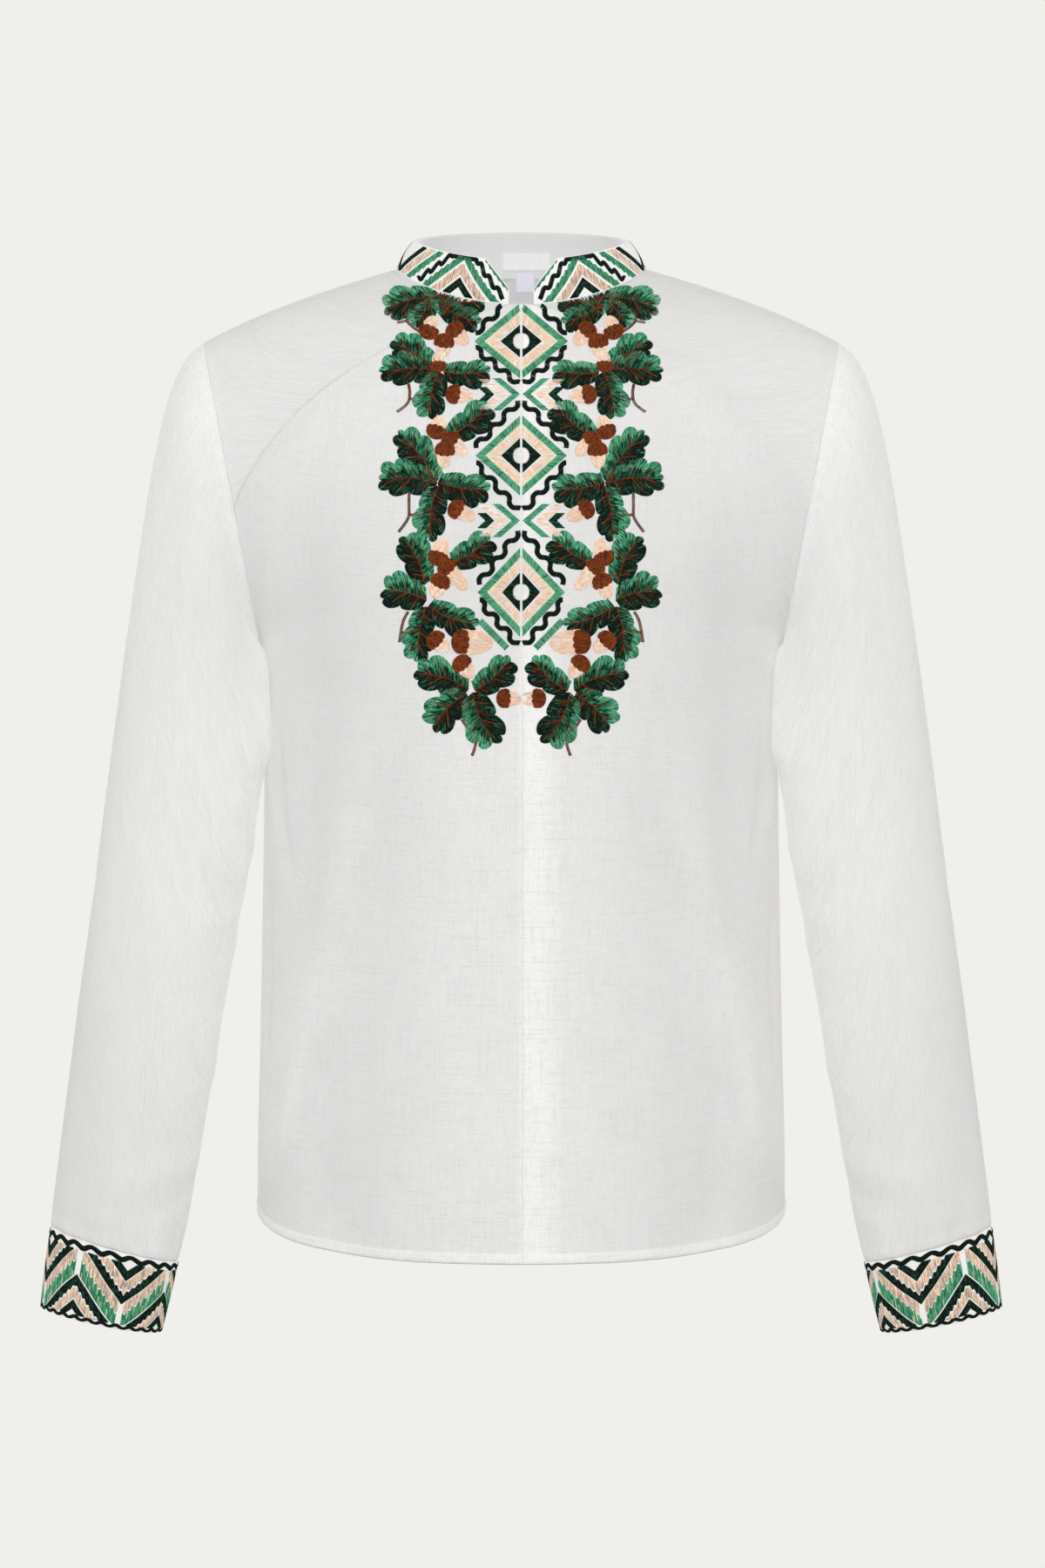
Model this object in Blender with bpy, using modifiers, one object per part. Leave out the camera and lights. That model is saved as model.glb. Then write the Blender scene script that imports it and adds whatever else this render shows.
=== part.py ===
"""An embroidered folk shirt (vyshyvanka), hollow and filled out as it is when worn.

Metres. +X is the wearer's left, +Y the wearer's back, +Z up. The origin lies at the
base of the neck, midway between the neck ends of the two shoulder seams, where the
wearer carries the shirt.

Every panel is a thin wall: an open surface lofted through sections, then given its
cloth thickness inwards. Panels stop a seam gap short of each other.
"""

import math

import bmesh
import bpy
import numpy as np

# ---- cloth -----------------------------------------------------------------------
CLOTH = 0.0011  # body and sleeve linen
BAND = 0.0022  # collar and cuffs: two layers and their stiffening
FACING = 0.0010
LABEL = 0.0010
LABEL_GAP = 0.0006  # between the collar's inner face and what is sewn to it
SEAM_GAP = 0.0004  # between two pieces that meet edge to edge
LAYER_GAP = 0.0005  # between two pieces that lie on each other
ARMHOLE_GAP = 0.0011  # the sleeve turns away from the body here, so its gap is wider
COLLAR_GAP = 0.0007  # the collar leans inwards over the body's edge

# ---- body ------------------------------------------------------------------------
HEM_CENTRE_Z = -0.6975
HEM_SIDE_Z = -0.6670
HEM_CORNER = 0.70  # the share of the hem's climb kept for the corner by the side seam
UNDERARM_CENTRE_Z = -0.262
HANDLE = 0.62  # of the half width or depth: a section a little squarer than an ellipse
PROFILE_COLUMNS = ("z", "half_width", "front_depth", "back_depth")
PROFILE = (
    (-0.720, 0.1903, 0.1215, 0.1170),
    (-0.640, 0.1892, 0.1200, 0.1145),
    (-0.540, 0.1870, 0.1165, 0.1075),
    (-0.440, 0.1853, 0.1145, 0.1010),
    (-0.350, 0.1842, 0.1165, 0.1030),
    (-0.262, 0.1850, 0.1185, 0.1080),
    (-0.190, 0.1950, 0.1135, 0.1095),
    (-0.120, 0.2100, 0.0985, 0.1050),
    (-0.060, 0.2250, 0.0805, 0.0915),
    (-0.026, 0.2280, 0.0690, 0.0780),
    (0.004, 0.2280, 0.0600, 0.0620),
)

# ---- neck and collar -------------------------------------------------------------
# Both ovals run round the neck. A power of 1.5 keeps the oval level over the shoulder.
OVAL_COLUMNS = (
    *("half_width", "front_depth", "back_depth"),
    *("side_z", "front_z", "back_z", "front_power", "back_power"),
)
NECK_SEAM = (0.0890, 0.0690, 0.0620, 0.0055, -0.0260, 0.0050, 1.5, 1.5)
COLLAR_TOP = (0.0770, 0.0590, 0.0520, 0.0262, 0.0062, 0.0375, 1.4, 1.1)
COLLAR_END_X = 0.0090  # half of the open notch at the throat
COLLAR_CORNER_X = 0.0290  # where the cut-away front corner reaches full height
COLLAR_END_HEIGHT = 0.30  # of the band's height, left at its front end
COLLAR_CORNER_POWER = 0.85
COLLAR_BULGE = 0.0012

# ---- front opening ---------------------------------------------------------------
FLY_WIDTH = 0.028
UNDERLAP_WIDTH = 0.024
UNDERLAP_DROP = CLOTH + FACING + 2 * LAYER_GAP
UNDERLAP_RAMP = (0.0140, 0.0015)  # from the edge: where it starts to sink, and has sunk
UNDERLAP_COLUMNS = (0.0140, 0.0065, 0.0015, -0.0080, -0.0160, -UNDERLAP_WIDTH)
FLY_INSET = 0.0012

# ---- sleeve ----------------------------------------------------------------------
# Each ring runs from its outer point (top of the shoulder, then outside of the arm)
# to its inner point (underarm, then the side towards the body).
RING_COLUMNS = ("outer_x", "outer_y", "outer_z", "inner_x", "inner_y", "inner_z", "half_depth")
RINGS = (
    (0.2285, 0.000, -0.0480, 0.1862, 0.000, -0.2720, 0.0650),
    (0.2400, 0.001, -0.0585, 0.1868, -0.008, -0.2802, 0.0662),
    (0.2505, 0.002, -0.0800, 0.1852, -0.018, -0.2895, 0.0670),
    (0.2587, 0.003, -0.1090, 0.1843, -0.025, -0.3040, 0.0672),
    (0.2663, 0.003, -0.1470, 0.1833, -0.030, -0.3220, 0.0665),
    (0.2735, 0.002, -0.1930, 0.1830, -0.032, -0.3430, 0.0650),
    (0.2803, 0.000, -0.2400, 0.1846, -0.033, -0.3640, 0.0635),
    (0.2873, -0.002, -0.2920, 0.1880, -0.034, -0.3880, 0.0615),
    (0.2943, -0.005, -0.3470, 0.1924, -0.034, -0.4180, 0.0600),
    (0.3010, -0.009, -0.4020, 0.1988, -0.034, -0.4530, 0.0590),
    (0.3077, -0.014, -0.4570, 0.2060, -0.034, -0.4930, 0.0580),
    (0.3148, -0.019, -0.5120, 0.2130, -0.035, -0.5370, 0.0560),
    (0.3212, -0.024, -0.5650, 0.2215, -0.037, -0.5860, 0.0535),
    (0.3272, -0.028, -0.6140, 0.2298, -0.038, -0.6350, 0.0505),
    (0.3312, -0.031, -0.6500, 0.2368, -0.039, -0.6740, 0.0482),
    (0.3340, -0.033, -0.6776, 0.2437, -0.040, -0.7022, 0.0462),
)
RING_STEPS = (2, 1, 1, 1, 1, 1, 1, 1, 1, 1, 1, 1, 1, 1, 1)
CUFF_RINGS = (
    (0.3344, -0.033, -0.6785, 0.2436, -0.040, -0.7031, 0.0466),
    (0.3382, -0.035, -0.7070, 0.2492, -0.041, -0.7280, 0.0450),
    (0.3412, -0.036, -0.7345, 0.2552, -0.042, -0.7520, 0.0438),
)
ARMHOLE_INSET = 0.004  # the armhole's front and back lie nearer the middle than its ends

# ---- folds -----------------------------------------------------------------------
# Soft ridges (height above 0) and troughs that run down the body from top to foot.
FOLD_COLUMNS = ("top_x", "top_z", "foot_x", "foot_z", "width", "height")
FRONT_FOLDS = (
    (0.1280, -0.170, 0.1500, -0.530, 0.024, -0.0068),
    (0.1050, -0.300, 0.1680, -0.620, 0.020, 0.0052),
    (0.0780, -0.360, 0.1300, -0.660, 0.022, -0.0046),
    (0.0500, -0.430, 0.0740, -0.720, 0.022, 0.0026),
)
BACK_FOLDS = (
    (0.1400, -0.160, 0.1480, -0.500, 0.024, -0.0058),
    (0.1000, -0.240, 0.1560, -0.640, 0.020, 0.0052),
    (0.0640, -0.330, 0.1080, -0.690, 0.022, -0.0052),
    (0.0260, -0.150, 0.0440, -0.720, 0.024, 0.0040),
)
SLEEVE_FOLD_COLUMNS = ("z", "turn", "slope", "width", "reach", "height")
SLEEVE_FOLDS = (
    (-0.405, 200.0, 0.30, 0.013, 58.0, 0.0022),
    (-0.442, 150.0, -0.35, 0.012, 52.0, -0.0020),
    (-0.475, 205.0, 0.25, 0.013, 60.0, 0.0024),
    (-0.520, 160.0, -0.30, 0.014, 55.0, -0.0018),
    (-0.640, 120.0, 0.20, 0.011, 50.0, 0.0014),
)

# ---- labels inside the collar ----------------------------------------------------
NECK_LABEL_X, NECK_LABEL_RISE = (-0.0145, 0.0225), (0.16, 0.56)
SIZE_TAB_X, SIZE_TAB_LENGTH = (-0.0040, 0.0100), 0.0150

# ---- mesh density ----------------------------------------------------------------
ROWS_TO_UNDERARM, ROWS_TO_NECK, ROWS_TO_SHOULDER = 12, 7, 8
COLUMNS = 12
SEAM_STRIP = 0.012  # the share of a column kept as a narrow strip along a seam
SEAM_ROW = 0.16  # the share of a row kept as a narrow strip along the shoulder
BAND_COLUMNS = 44
BAND_ROWS = 4

FRONT, BACK = -1, 1
LEFT, RIGHT = 1, -1
LINEN = ("linen", (0.86, 0.855, 0.85, 1.0), 0.85)
LABEL_WEAVE = ("label_satin", (0.84, 0.83, 0.86, 1.0), 0.45)


# ---- small mathematics -----------------------------------------------------------
def smooth(share):
    """0 to 1 with level ends."""
    share = min(max(share, 0.0), 1.0)
    return share * share * (3 - 2 * share)


def through(table, place):
    """The row of a table at a fractional row number, on a smooth curve through the rows."""
    rows = np.array(table, float)
    index = min(int(place), len(rows) - 2)
    share = place - index
    before, start = rows[max(index - 1, 0)], rows[index]
    end, after = rows[index + 1], rows[min(index + 2, len(rows) - 1)]
    leave, arrive = (end - before) / 2, (after - start) / 2
    square, cube = share**2, share**3
    return (
        (2 * cube - 3 * square + 1) * start
        + (cube - 2 * square + share) * leave
        + (3 * square - 2 * cube) * end
        + (cube - square) * arrive
    )


def profile(z):
    """Half width, front depth and back depth of the body at one height."""
    heights = [row[0] for row in PROFILE]
    index = int(np.searchsorted(heights, z)) - 1
    index = min(max(index, 0), len(PROFILE) - 2)
    low, high = heights[index], heights[index + 1]
    place = index + (min(max(z, low), high) - low) / (high - low)
    return through([row[1:] for row in PROFILE], place)


def bezier(points, share):
    """A cubic curve through four control points."""
    other = 1 - share
    weights = (other**3, 3 * other**2 * share, 3 * other * share**2, share**3)
    return sum(weight * point for weight, point in zip(weights, points))


# ---- loops that two pieces share -------------------------------------------------
def around(oval, degrees):
    """A point of an oval round the neck. 0 is the throat, 90 the wearer's left, 180 the nape."""
    half_width, front, back, side_z, front_z, back_z, front_power, back_power = oval
    turn = math.radians(degrees)
    ahead = math.cos(turn)
    depth, end_z, power = (front, front_z, front_power) if ahead > 0 else (back, back_z, back_power)
    z = side_z + (end_z - side_z) * abs(ahead) ** power
    return np.array((half_width * math.sin(turn), -depth * ahead, z))


def neck_point(degrees):
    """The seam between the body and the collar."""
    return around(NECK_SEAM, degrees)


def collar_top_point(degrees):
    """The free edge of the collar, before its front corners are cut away."""
    return around(COLLAR_TOP, degrees)


def ring_point(ring, degrees, inset=0.0):
    """A point of a sleeve ring. 0 is its outer point, 90 its front, 180 its inner point."""
    outer, inner, half_depth = ring[0:3], ring[3:6], ring[6]
    turn = math.radians(degrees)
    across, along = math.sin(turn), math.cos(turn)
    middle, reach = (outer + inner) / 2, (outer - inner) / 2
    sideways = np.array((-inset * abs(across), -half_depth * across, 0.0))
    return middle + reach * along + sideways


def armhole_point(degrees):
    """The seam between the body and the left sleeve."""
    return ring_point(np.array(RINGS[0]), degrees, ARMHOLE_INSET)


# ---- body ------------------------------------------------------------------------
def row_share(row):
    """How far a row lies up each of the body's three stretches, from 0 to 1."""
    to_underarm = min(row / ROWS_TO_UNDERARM, 1.0)
    to_neck = min(max((row - ROWS_TO_UNDERARM) / ROWS_TO_NECK, 0.0), 1.0)
    to_shoulder = max((row - ROWS_TO_UNDERARM - ROWS_TO_NECK) / ROWS_TO_SHOULDER, 0.0)
    return to_underarm, to_neck, to_shoulder


def middle_edge(side, row):
    """Where a row starts: on the centre line, then on the neck seam."""
    to_underarm, to_neck, to_shoulder = row_share(row)
    if to_shoulder > 0:
        turn = 90 * to_shoulder
        return neck_point(turn if side == FRONT else 180 - turn)
    neck_z = NECK_SEAM[4 if side == FRONT else 5]
    z = HEM_CENTRE_Z + (UNDERARM_CENTRE_Z - HEM_CENTRE_Z) * to_underarm
    z += (neck_z - UNDERARM_CENTRE_Z) * to_neck
    neck_y = abs(neck_point(0 if side == FRONT else 180)[1])
    depth = profile(z)[1 if side == FRONT else 2]
    depth += (neck_y - depth) * smooth((to_neck - 0.7) / 0.3)
    return np.array((0.0, side * depth, z))


def outer_edge(side, row):
    """Where a row ends: on the side seam, then on the armhole seam."""
    underarm_z = RINGS[0][5]
    rows_to_top = ROWS_TO_NECK + ROWS_TO_SHOULDER
    if row > ROWS_TO_UNDERARM:
        turn = 180 * (1 - (row - ROWS_TO_UNDERARM) / rows_to_top)
        return armhole_point(turn if side == FRONT else -turn)
    z = HEM_SIDE_Z + (underarm_z - HEM_SIDE_Z) * row / ROWS_TO_UNDERARM
    settle = smooth((row / ROWS_TO_UNDERARM - 0.9) / 0.1)
    half_width = profile(z)[0]
    half_width += (RINGS[0][3] - half_width) * settle
    return np.array((half_width, 0.0, z))


def fold_height(folds, x, z):
    """How far the body's folds push its surface outwards."""
    height = 0.0
    for top_x, top_z, foot_x, foot_z, width, fold in folds:
        down = (top_z - z) / (top_z - foot_z)
        centre = top_x + (foot_x - top_x) * down
        fade = smooth(down / 0.35) * smooth((1.25 - down) / 0.3)
        height += fold * fade * math.exp(-(((x - centre) / width) ** 2))
    return height


def body_point(side, row, share):
    """A point of the left half of the front or back, from the middle (0) to the outer edge (1)."""
    start, end = middle_edge(side, row), outer_edge(side, row)
    rows_to_top = ROWS_TO_NECK + ROWS_TO_SHOULDER
    climb = smooth(max(row - ROWS_TO_UNDERARM, 0) / rows_to_top)
    fall = smooth(max(row - ROWS_TO_UNDERARM, 0) / ROWS_TO_NECK)
    width = end[0] - start[0]
    along_shoulder = np.array((0.96, 0.0, -0.27)) * width
    at_shoulder_end = np.array((0.87, 0.0, -0.49)) * width
    leave = np.array((HANDLE * end[0], 0.0, 0.0)) * (1 - climb) + along_shoulder / 3 * climb
    leave[2] = along_shoulder[2] / 3 * fall
    arrive = np.array((0.0, side * HANDLE * abs(start[1]), 0.0)) * (1 - climb) ** 1.3
    arrive -= at_shoulder_end / 3 * climb
    rise = end[2] - start[2]
    arrive[2] -= rise * HEM_CORNER * (1 - climb)
    point = bezier((start, start + leave, end + arrive, end), share)
    folds = FRONT_FOLDS if side == FRONT else BACK_FOLDS
    at_rest = smooth(share / 0.1) * smooth((1 - share) / 0.12)
    point[1] += side * fold_height(folds, point[0], point[2]) * at_rest
    point[1] = side * max(side * point[1], SEAM_GAP / 2)
    return point


def mirrored(point, hand):
    """The same point on the wearer's left (1) or right (-1)."""
    return np.array((hand * point[0], point[1], point[2]))


def body_rows(last=None):
    """Row places from the hem up, with a narrow last one that lies level over the shoulder."""
    if last is not None:
        return list(range(last + 1))
    return list(range(ALL_ROWS)) + [ALL_ROWS - SEAM_ROW, ALL_ROWS]


def body_shares():
    """Column places from the middle outwards, with a narrow last one along the seam."""
    return [n / COLUMNS for n in range(COLUMNS)] + [1 - SEAM_STRIP, 1.0]


def share_at(side, row, x):
    """How far along a row the body is x from the middle."""
    shares = np.linspace(0, 0.5, 60)
    reached = [body_point(side, row, share)[0] for share in shares]
    return float(np.interp(x, reached, shares))


# ---- mesh helpers ----------------------------------------------------------------
def material(name, colour, roughness):
    """A plain Principled material."""
    made = bpy.data.materials.get(name) or bpy.data.materials.new(name)
    made.use_nodes = True
    shader = made.node_tree.nodes["Principled BSDF"]
    shader.inputs["Base Color"].default_value = colour
    shader.inputs["Roughness"].default_value = roughness
    return made


def wall(name, grids, thickness, finish, collection, wraps=False):
    """A closed wall from grids of outer points, each {(row, column): point}.

    Rows and columns run so that the surface faces outwards, and the cloth's
    thickness goes inwards. Grids that share an edge are joined along it. With
    wraps, the last column joins the first.
    """
    mesh = bmesh.new()
    for grid in grids:
        corner = {key: mesh.verts.new(point) for key, point in sorted(grid.items())}
        last = max(column for _, column in grid)
        for row, column in sorted(grid):
            beside = 0 if wraps and column == last else column + 1
            keys = ((row, column), (row, beside), (row + 1, beside), (row + 1, column))
            if all(key in corner for key in keys):
                mesh.faces.new([corner[key] for key in keys])
    bmesh.ops.remove_doubles(mesh, verts=mesh.verts, dist=1e-6)
    data = bpy.data.meshes.new(name)
    mesh.to_mesh(data)
    mesh.free()
    data.shade_smooth()
    made = bpy.data.objects.new(name, data)
    collection.objects.link(made)
    data.materials.append(material(*finish))
    cloth = made.modifiers.new("Cloth", "SOLIDIFY")
    cloth.thickness = thickness
    cloth.offset = -1
    cloth.use_quality_normals = True
    return made


# ---- pieces ----------------------------------------------------------------------
ALL_ROWS = ROWS_TO_UNDERARM + ROWS_TO_NECK + ROWS_TO_SHOULDER
NECK_ROW = ROWS_TO_UNDERARM + ROWS_TO_NECK


def front_left(collection):
    """The wearer's left front, whose free edge lies on the centre line."""
    grid = {
        (row, column): body_point(FRONT, place, share)
        for row, place in enumerate(body_rows())
        for column, share in enumerate(body_shares())
    }
    return wall("front_left", [grid], CLOTH, LINEN, collection)


def underlap_drop(x):
    """How far the right front sinks behind the left one, x from the centre line on its own side."""
    start, sunk = UNDERLAP_RAMP
    return UNDERLAP_DROP * smooth((start - x) / (start - sunk))


def front_right(collection):
    """The wearer's right front, which runs on under the left one as the button stand."""
    grid = {}
    for row, place in enumerate(body_rows()):
        outer = [share for share in reversed(body_shares()) if share > 0]
        points = [mirrored(body_point(FRONT, place, share), RIGHT) for share in outer]
        if place <= NECK_ROW:
            for x in UNDERLAP_COLUMNS:
                spot = body_point(FRONT, place, share_at(FRONT, place, abs(x)))
                points.append(mirrored(spot, RIGHT if x > 0 else LEFT))
        else:
            start, beside = mirrored(body_point(FRONT, place, 0.0), RIGHT), points[-1]
            points += [beside + (start - beside) * part for part in (0.4, 0.7, 1.0)]
        for column, point in enumerate(points):
            grid[row, column] = point + np.array((0.0, underlap_drop(-point[0]), 0.0))
    return wall("front_right", [grid], CLOTH, LINEN, collection)


def fly_facing(collection):
    """The second layer behind the left front's edge, which hides the closure."""
    inside = CLOTH + LAYER_GAP
    steps = 3
    grid = {}
    for row in body_rows(NECK_ROW):
        for column in range(steps + 1):
            x = FLY_INSET + (FLY_WIDTH - FLY_INSET) * column / steps
            point = body_point(FRONT, row, share_at(FRONT, row, x))
            lift = FLY_INSET if row == 0 else 0.0
            drop = FLY_INSET if row == NECK_ROW else 0.0
            grid[row, column] = point + np.array((0.0, inside, lift - drop))
    return wall("fly_facing", [grid], FACING, LINEN, collection)


def back(collection):
    """The back, cut in one piece: its two halves are joined up to the neck."""
    halves = []
    for hand in (LEFT, RIGHT):
        shares = body_shares()
        if hand == LEFT:
            shares.reverse()
        halves.append(
            {
                (row, column): mirrored(body_point(BACK, place, share), hand)
                for row, place in enumerate(body_rows())
                for column, share in enumerate(shares)
            }
        )
    return wall("back", halves, CLOTH, LINEN, collection)


def fold_on_sleeve(z, degrees):
    """How far the sleeve's creases push its surface outwards."""
    height = 0.0
    for fold_z, turn, slope, width, reach, fold in SLEEVE_FOLDS:
        away = (degrees - turn + 180) % 360 - 180
        line = fold_z + slope * 0.055 * math.radians(away)
        fade = math.exp(-((away / reach) ** 2))
        height += fold * fade * math.exp(-(((z - line) / width) ** 2))
    return height


def sleeve_rings():
    """Every ring of the sleeve as built, from the armhole to the cuff."""
    places = [0.0]
    for index, steps in enumerate(RING_STEPS):
        places += [index + (step + 1) / steps for step in range(steps)]
    return [through(RINGS, place) for place in places]


def sleeve(hand, collection):
    """One sleeve, a tube from the armhole seam to the cuff seam."""
    around_count = 2 * (ROWS_TO_NECK + ROWS_TO_SHOULDER)
    grid = {}
    rings = sleeve_rings()
    for row, ring in enumerate(rings):
        middle = (ring[0:3] + ring[3:6]) / 2
        inset = ARMHOLE_INSET * smooth(1 - row / 3)
        for column in range(around_count):
            degrees = 360 * column / around_count
            point = ring_point(ring, degrees, inset)
            outwards = point - middle
            outwards[2] = 0.0
            outwards /= np.linalg.norm(outwards) + 1e-9
            point = point + outwards * fold_on_sleeve(point[2], degrees)
            if row == 0:
                point = point + np.array((ARMHOLE_GAP, 0.0, -ARMHOLE_GAP / 4))
            grid[row, column * hand % around_count] = mirrored(point, hand)
    name = "sleeve_left" if hand == LEFT else "sleeve_right"
    return wall(name, [grid], CLOTH, LINEN, collection, wraps=True)


def cuff(hand, collection):
    """One stiffened cuff, which carries on the sleeve's line."""
    around_count = 24
    rows = 4
    grid = {}
    for row in range(rows + 1):
        ring = through(CUFF_RINGS, row * (len(CUFF_RINGS) - 1) / rows)
        for column in range(around_count):
            point = ring_point(ring, 360 * column / around_count)
            grid[row, column * hand % around_count] = mirrored(point, hand)
    name = "cuff_left" if hand == LEFT else "cuff_right"
    return wall(name, [grid], BAND, LINEN, collection, wraps=True)


def neck_seam(degrees):
    """The neck seam as the body's rows make it, straight from one row to the next."""
    places = [0, *range(1, ROWS_TO_SHOULDER), ROWS_TO_SHOULDER - SEAM_ROW, ROWS_TO_SHOULDER]
    turns = [90 * place / ROWS_TO_SHOULDER for place in places]
    turns += [180 - turn for turn in reversed(turns[:-1])]
    points = np.array([neck_point(turn) for turn in turns])
    folded = degrees if degrees <= 180 else 360 - degrees
    point = np.array([np.interp(folded, turns, points[:, axis]) for axis in range(3)])
    return mirrored(point, LEFT if degrees <= 180 else RIGHT)


def collar_point(degrees, rise):
    """A point of the collar's outer face, from the neck seam (0) to its free edge (1)."""
    base = neck_seam(degrees) + np.array((0.0, 0.0, COLLAR_GAP))
    top = collar_top_point(degrees)
    out = np.array((math.sin(math.radians(degrees)), -math.cos(math.radians(degrees)), 0.0))
    return base + (top - base) * rise + out * COLLAR_BULGE * math.sin(math.pi * rise)


def collar_height(degrees):
    """How much of the band's height stands there: its front corners are cut away."""
    x = abs(NECK_SEAM[0] * math.sin(math.radians(degrees)))
    if math.cos(math.radians(degrees)) < 0 or x > COLLAR_CORNER_X:
        return 1.0
    share = max((x - COLLAR_END_X) / (COLLAR_CORNER_X - COLLAR_END_X), 0.0)
    return COLLAR_END_HEIGHT + (1 - COLLAR_END_HEIGHT) * share**COLLAR_CORNER_POWER


def collar_turns():
    """The angles of the collar's columns, closer together at its cut-away corners."""
    end = math.degrees(math.asin(COLLAR_END_X / NECK_SEAM[0]))
    corner = math.degrees(math.asin(COLLAR_CORNER_X / NECK_SEAM[0]))
    corner_steps = 5
    near = [end + (corner - end) * (n / corner_steps) ** 1.4 for n in range(corner_steps)]
    middle_steps = BAND_COLUMNS - 2 * corner_steps
    span = 360 - 2 * corner
    middle = [corner + span * n / middle_steps for n in range(middle_steps + 1)]
    return near + middle + [360 - turn for turn in reversed(near)]


def collar(collection):
    """The stand collar, one band from one side of the throat round to the other."""
    grid = {
        (row, column): collar_point(turn, collar_height(turn) * row / BAND_ROWS)
        for column, turn in enumerate(collar_turns())
        for row in range(BAND_ROWS + 1)
    }
    return wall("collar", [grid], BAND, LINEN, collection)


def nape_point(x, rise, inside):
    """A point inside the back of the collar, x from the middle and inside its outer face."""
    degrees = 180 - math.degrees(math.asin(x / NECK_SEAM[0]))
    point = collar_point(degrees, rise)
    sideways = collar_point(degrees + 2, rise) - collar_point(degrees - 2, rise)
    upwards = collar_point(degrees, rise + 0.1) - collar_point(degrees, rise - 0.1)
    outwards = np.cross(sideways, upwards)
    return point - outwards / np.linalg.norm(outwards) * inside


def neck_label(collection):
    """The woven label, sewn flat to the inside of the collar at the nape. It is blank."""
    columns, rows = 6, 2
    inside = BAND + LABEL_GAP
    grid = {}
    for row in range(rows + 1):
        for column in range(columns + 1):
            x = NECK_LABEL_X[1] + (NECK_LABEL_X[0] - NECK_LABEL_X[1]) * column / columns
            rise = NECK_LABEL_RISE[0] + (NECK_LABEL_RISE[1] - NECK_LABEL_RISE[0]) * row / rows
            grid[row, column] = nape_point(x, rise, inside)
    return wall("neck_label", [grid], LABEL, LABEL_WEAVE, collection)


def size_tab(collection):
    """The small tab that hangs from under the neck label. It is blank."""
    columns, rows = 3, 3
    inside = BAND + LABEL_GAP
    grid = {}
    for row in range(rows + 1):
        for column in range(columns + 1):
            x = SIZE_TAB_X[1] + (SIZE_TAB_X[0] - SIZE_TAB_X[1]) * column / columns
            top = nape_point(x, NECK_LABEL_RISE[0] - 0.025, inside)
            down = SIZE_TAB_LENGTH * (1 - row / rows)
            grid[row, column] = top - np.array((0.0, 0.04 * down, down))
    return wall("size_tab", [grid], LABEL, LABEL_WEAVE, collection)


def clear_scene():
    """Removes whatever the file opened with."""
    for old in list(bpy.data.objects):
        bpy.data.objects.remove(old)


def main():
    """Builds every piece of the shirt."""
    clear_scene()
    shirt = bpy.data.collections.new("vyshyvanka_shirt")
    bpy.context.scene.collection.children.link(shirt)
    front_left(shirt)
    front_right(shirt)
    fly_facing(shirt)
    back(shirt)
    for hand in (LEFT, RIGHT):
        sleeve(hand, shirt)
        cuff(hand, shirt)
    collar(shirt)
    neck_label(shirt)
    size_tab(shirt)


main()
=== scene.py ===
"""Dresses an embroidered folk shirt: linen panels, seams, folds and stitched motifs.

Metres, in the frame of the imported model. +X is the wearer's left, +Y the wearer's back,
+Z up. The origin lies at the base of the neck.
"""
import logging
import math
from collections.abc import Callable, Sequence
from dataclasses import dataclass, field
from enum import Enum

import bmesh
import bpy
import numpy as np
from bpy.types import Material, Mesh, Node, NodeTree, Object
from mathutils.bvhtree import BVHTree
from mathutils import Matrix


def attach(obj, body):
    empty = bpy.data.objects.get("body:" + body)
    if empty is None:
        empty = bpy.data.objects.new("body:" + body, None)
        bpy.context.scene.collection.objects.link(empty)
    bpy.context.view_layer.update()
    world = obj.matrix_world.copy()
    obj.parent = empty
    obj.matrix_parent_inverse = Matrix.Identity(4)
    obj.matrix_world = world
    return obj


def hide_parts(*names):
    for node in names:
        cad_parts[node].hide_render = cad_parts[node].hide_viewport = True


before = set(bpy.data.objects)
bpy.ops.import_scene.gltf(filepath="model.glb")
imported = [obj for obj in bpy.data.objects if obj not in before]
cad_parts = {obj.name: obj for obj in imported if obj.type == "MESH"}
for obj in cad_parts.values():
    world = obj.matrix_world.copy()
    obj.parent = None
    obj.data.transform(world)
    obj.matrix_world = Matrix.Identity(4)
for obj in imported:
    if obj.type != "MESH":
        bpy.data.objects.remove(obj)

log = logging.getLogger("folk_shirt")
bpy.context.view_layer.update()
MM = 0.001
COLUMN_PITCH, NUT_PITCH, LEAF_PITCH = 0.00048, 0.00042, 0.00054  # from one stitch to the next
TOOTH = 0.0022  # from one tooth of a toothed edge to the next
Array, Socket = np.ndarray, bpy.types.NodeSocket


# ---- choices ----
class Side(Enum):
    """The front or the back of the trunk, by the sign of its Y."""

    FRONT = -1
    BACK = 1


class Hand(Enum):
    """The wearer's left or right, by the sign of its X."""

    LEFT = 1
    RIGHT = -1


class Dye(Enum):
    """The thread colours on the reel rack, in linear light."""

    BLACK_GREEN = (0.003, 0.011, 0.006)
    PINE = (0.01, 0.072, 0.036)
    FERN = (0.033, 0.23, 0.112)
    MINT = (0.13, 0.42, 0.25)
    BARK = (0.095, 0.021, 0.007)
    CHESTNUT = (0.23, 0.05, 0.011)
    PEACH = (0.92, 0.655, 0.47)
    SAND = (0.81, 0.66, 0.55)
    OAT = (0.52, 0.4, 0.32)
    CREAM = (0.87, 0.79, 0.53)
    WHITE = (0.86, 0.85, 0.83)

    @property
    def number(self) -> float:
        """The dye's place on the rack, which each stitch carries."""
        return float(list(Dye).index(self))


# ---- small mathematics ----
def smooth(share: Array) -> Array:
    """Runs from 0 to 1 with level ends."""
    share = np.clip(share, 0.0, 1.0)
    return share * share * (3 - 2 * share)


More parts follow.
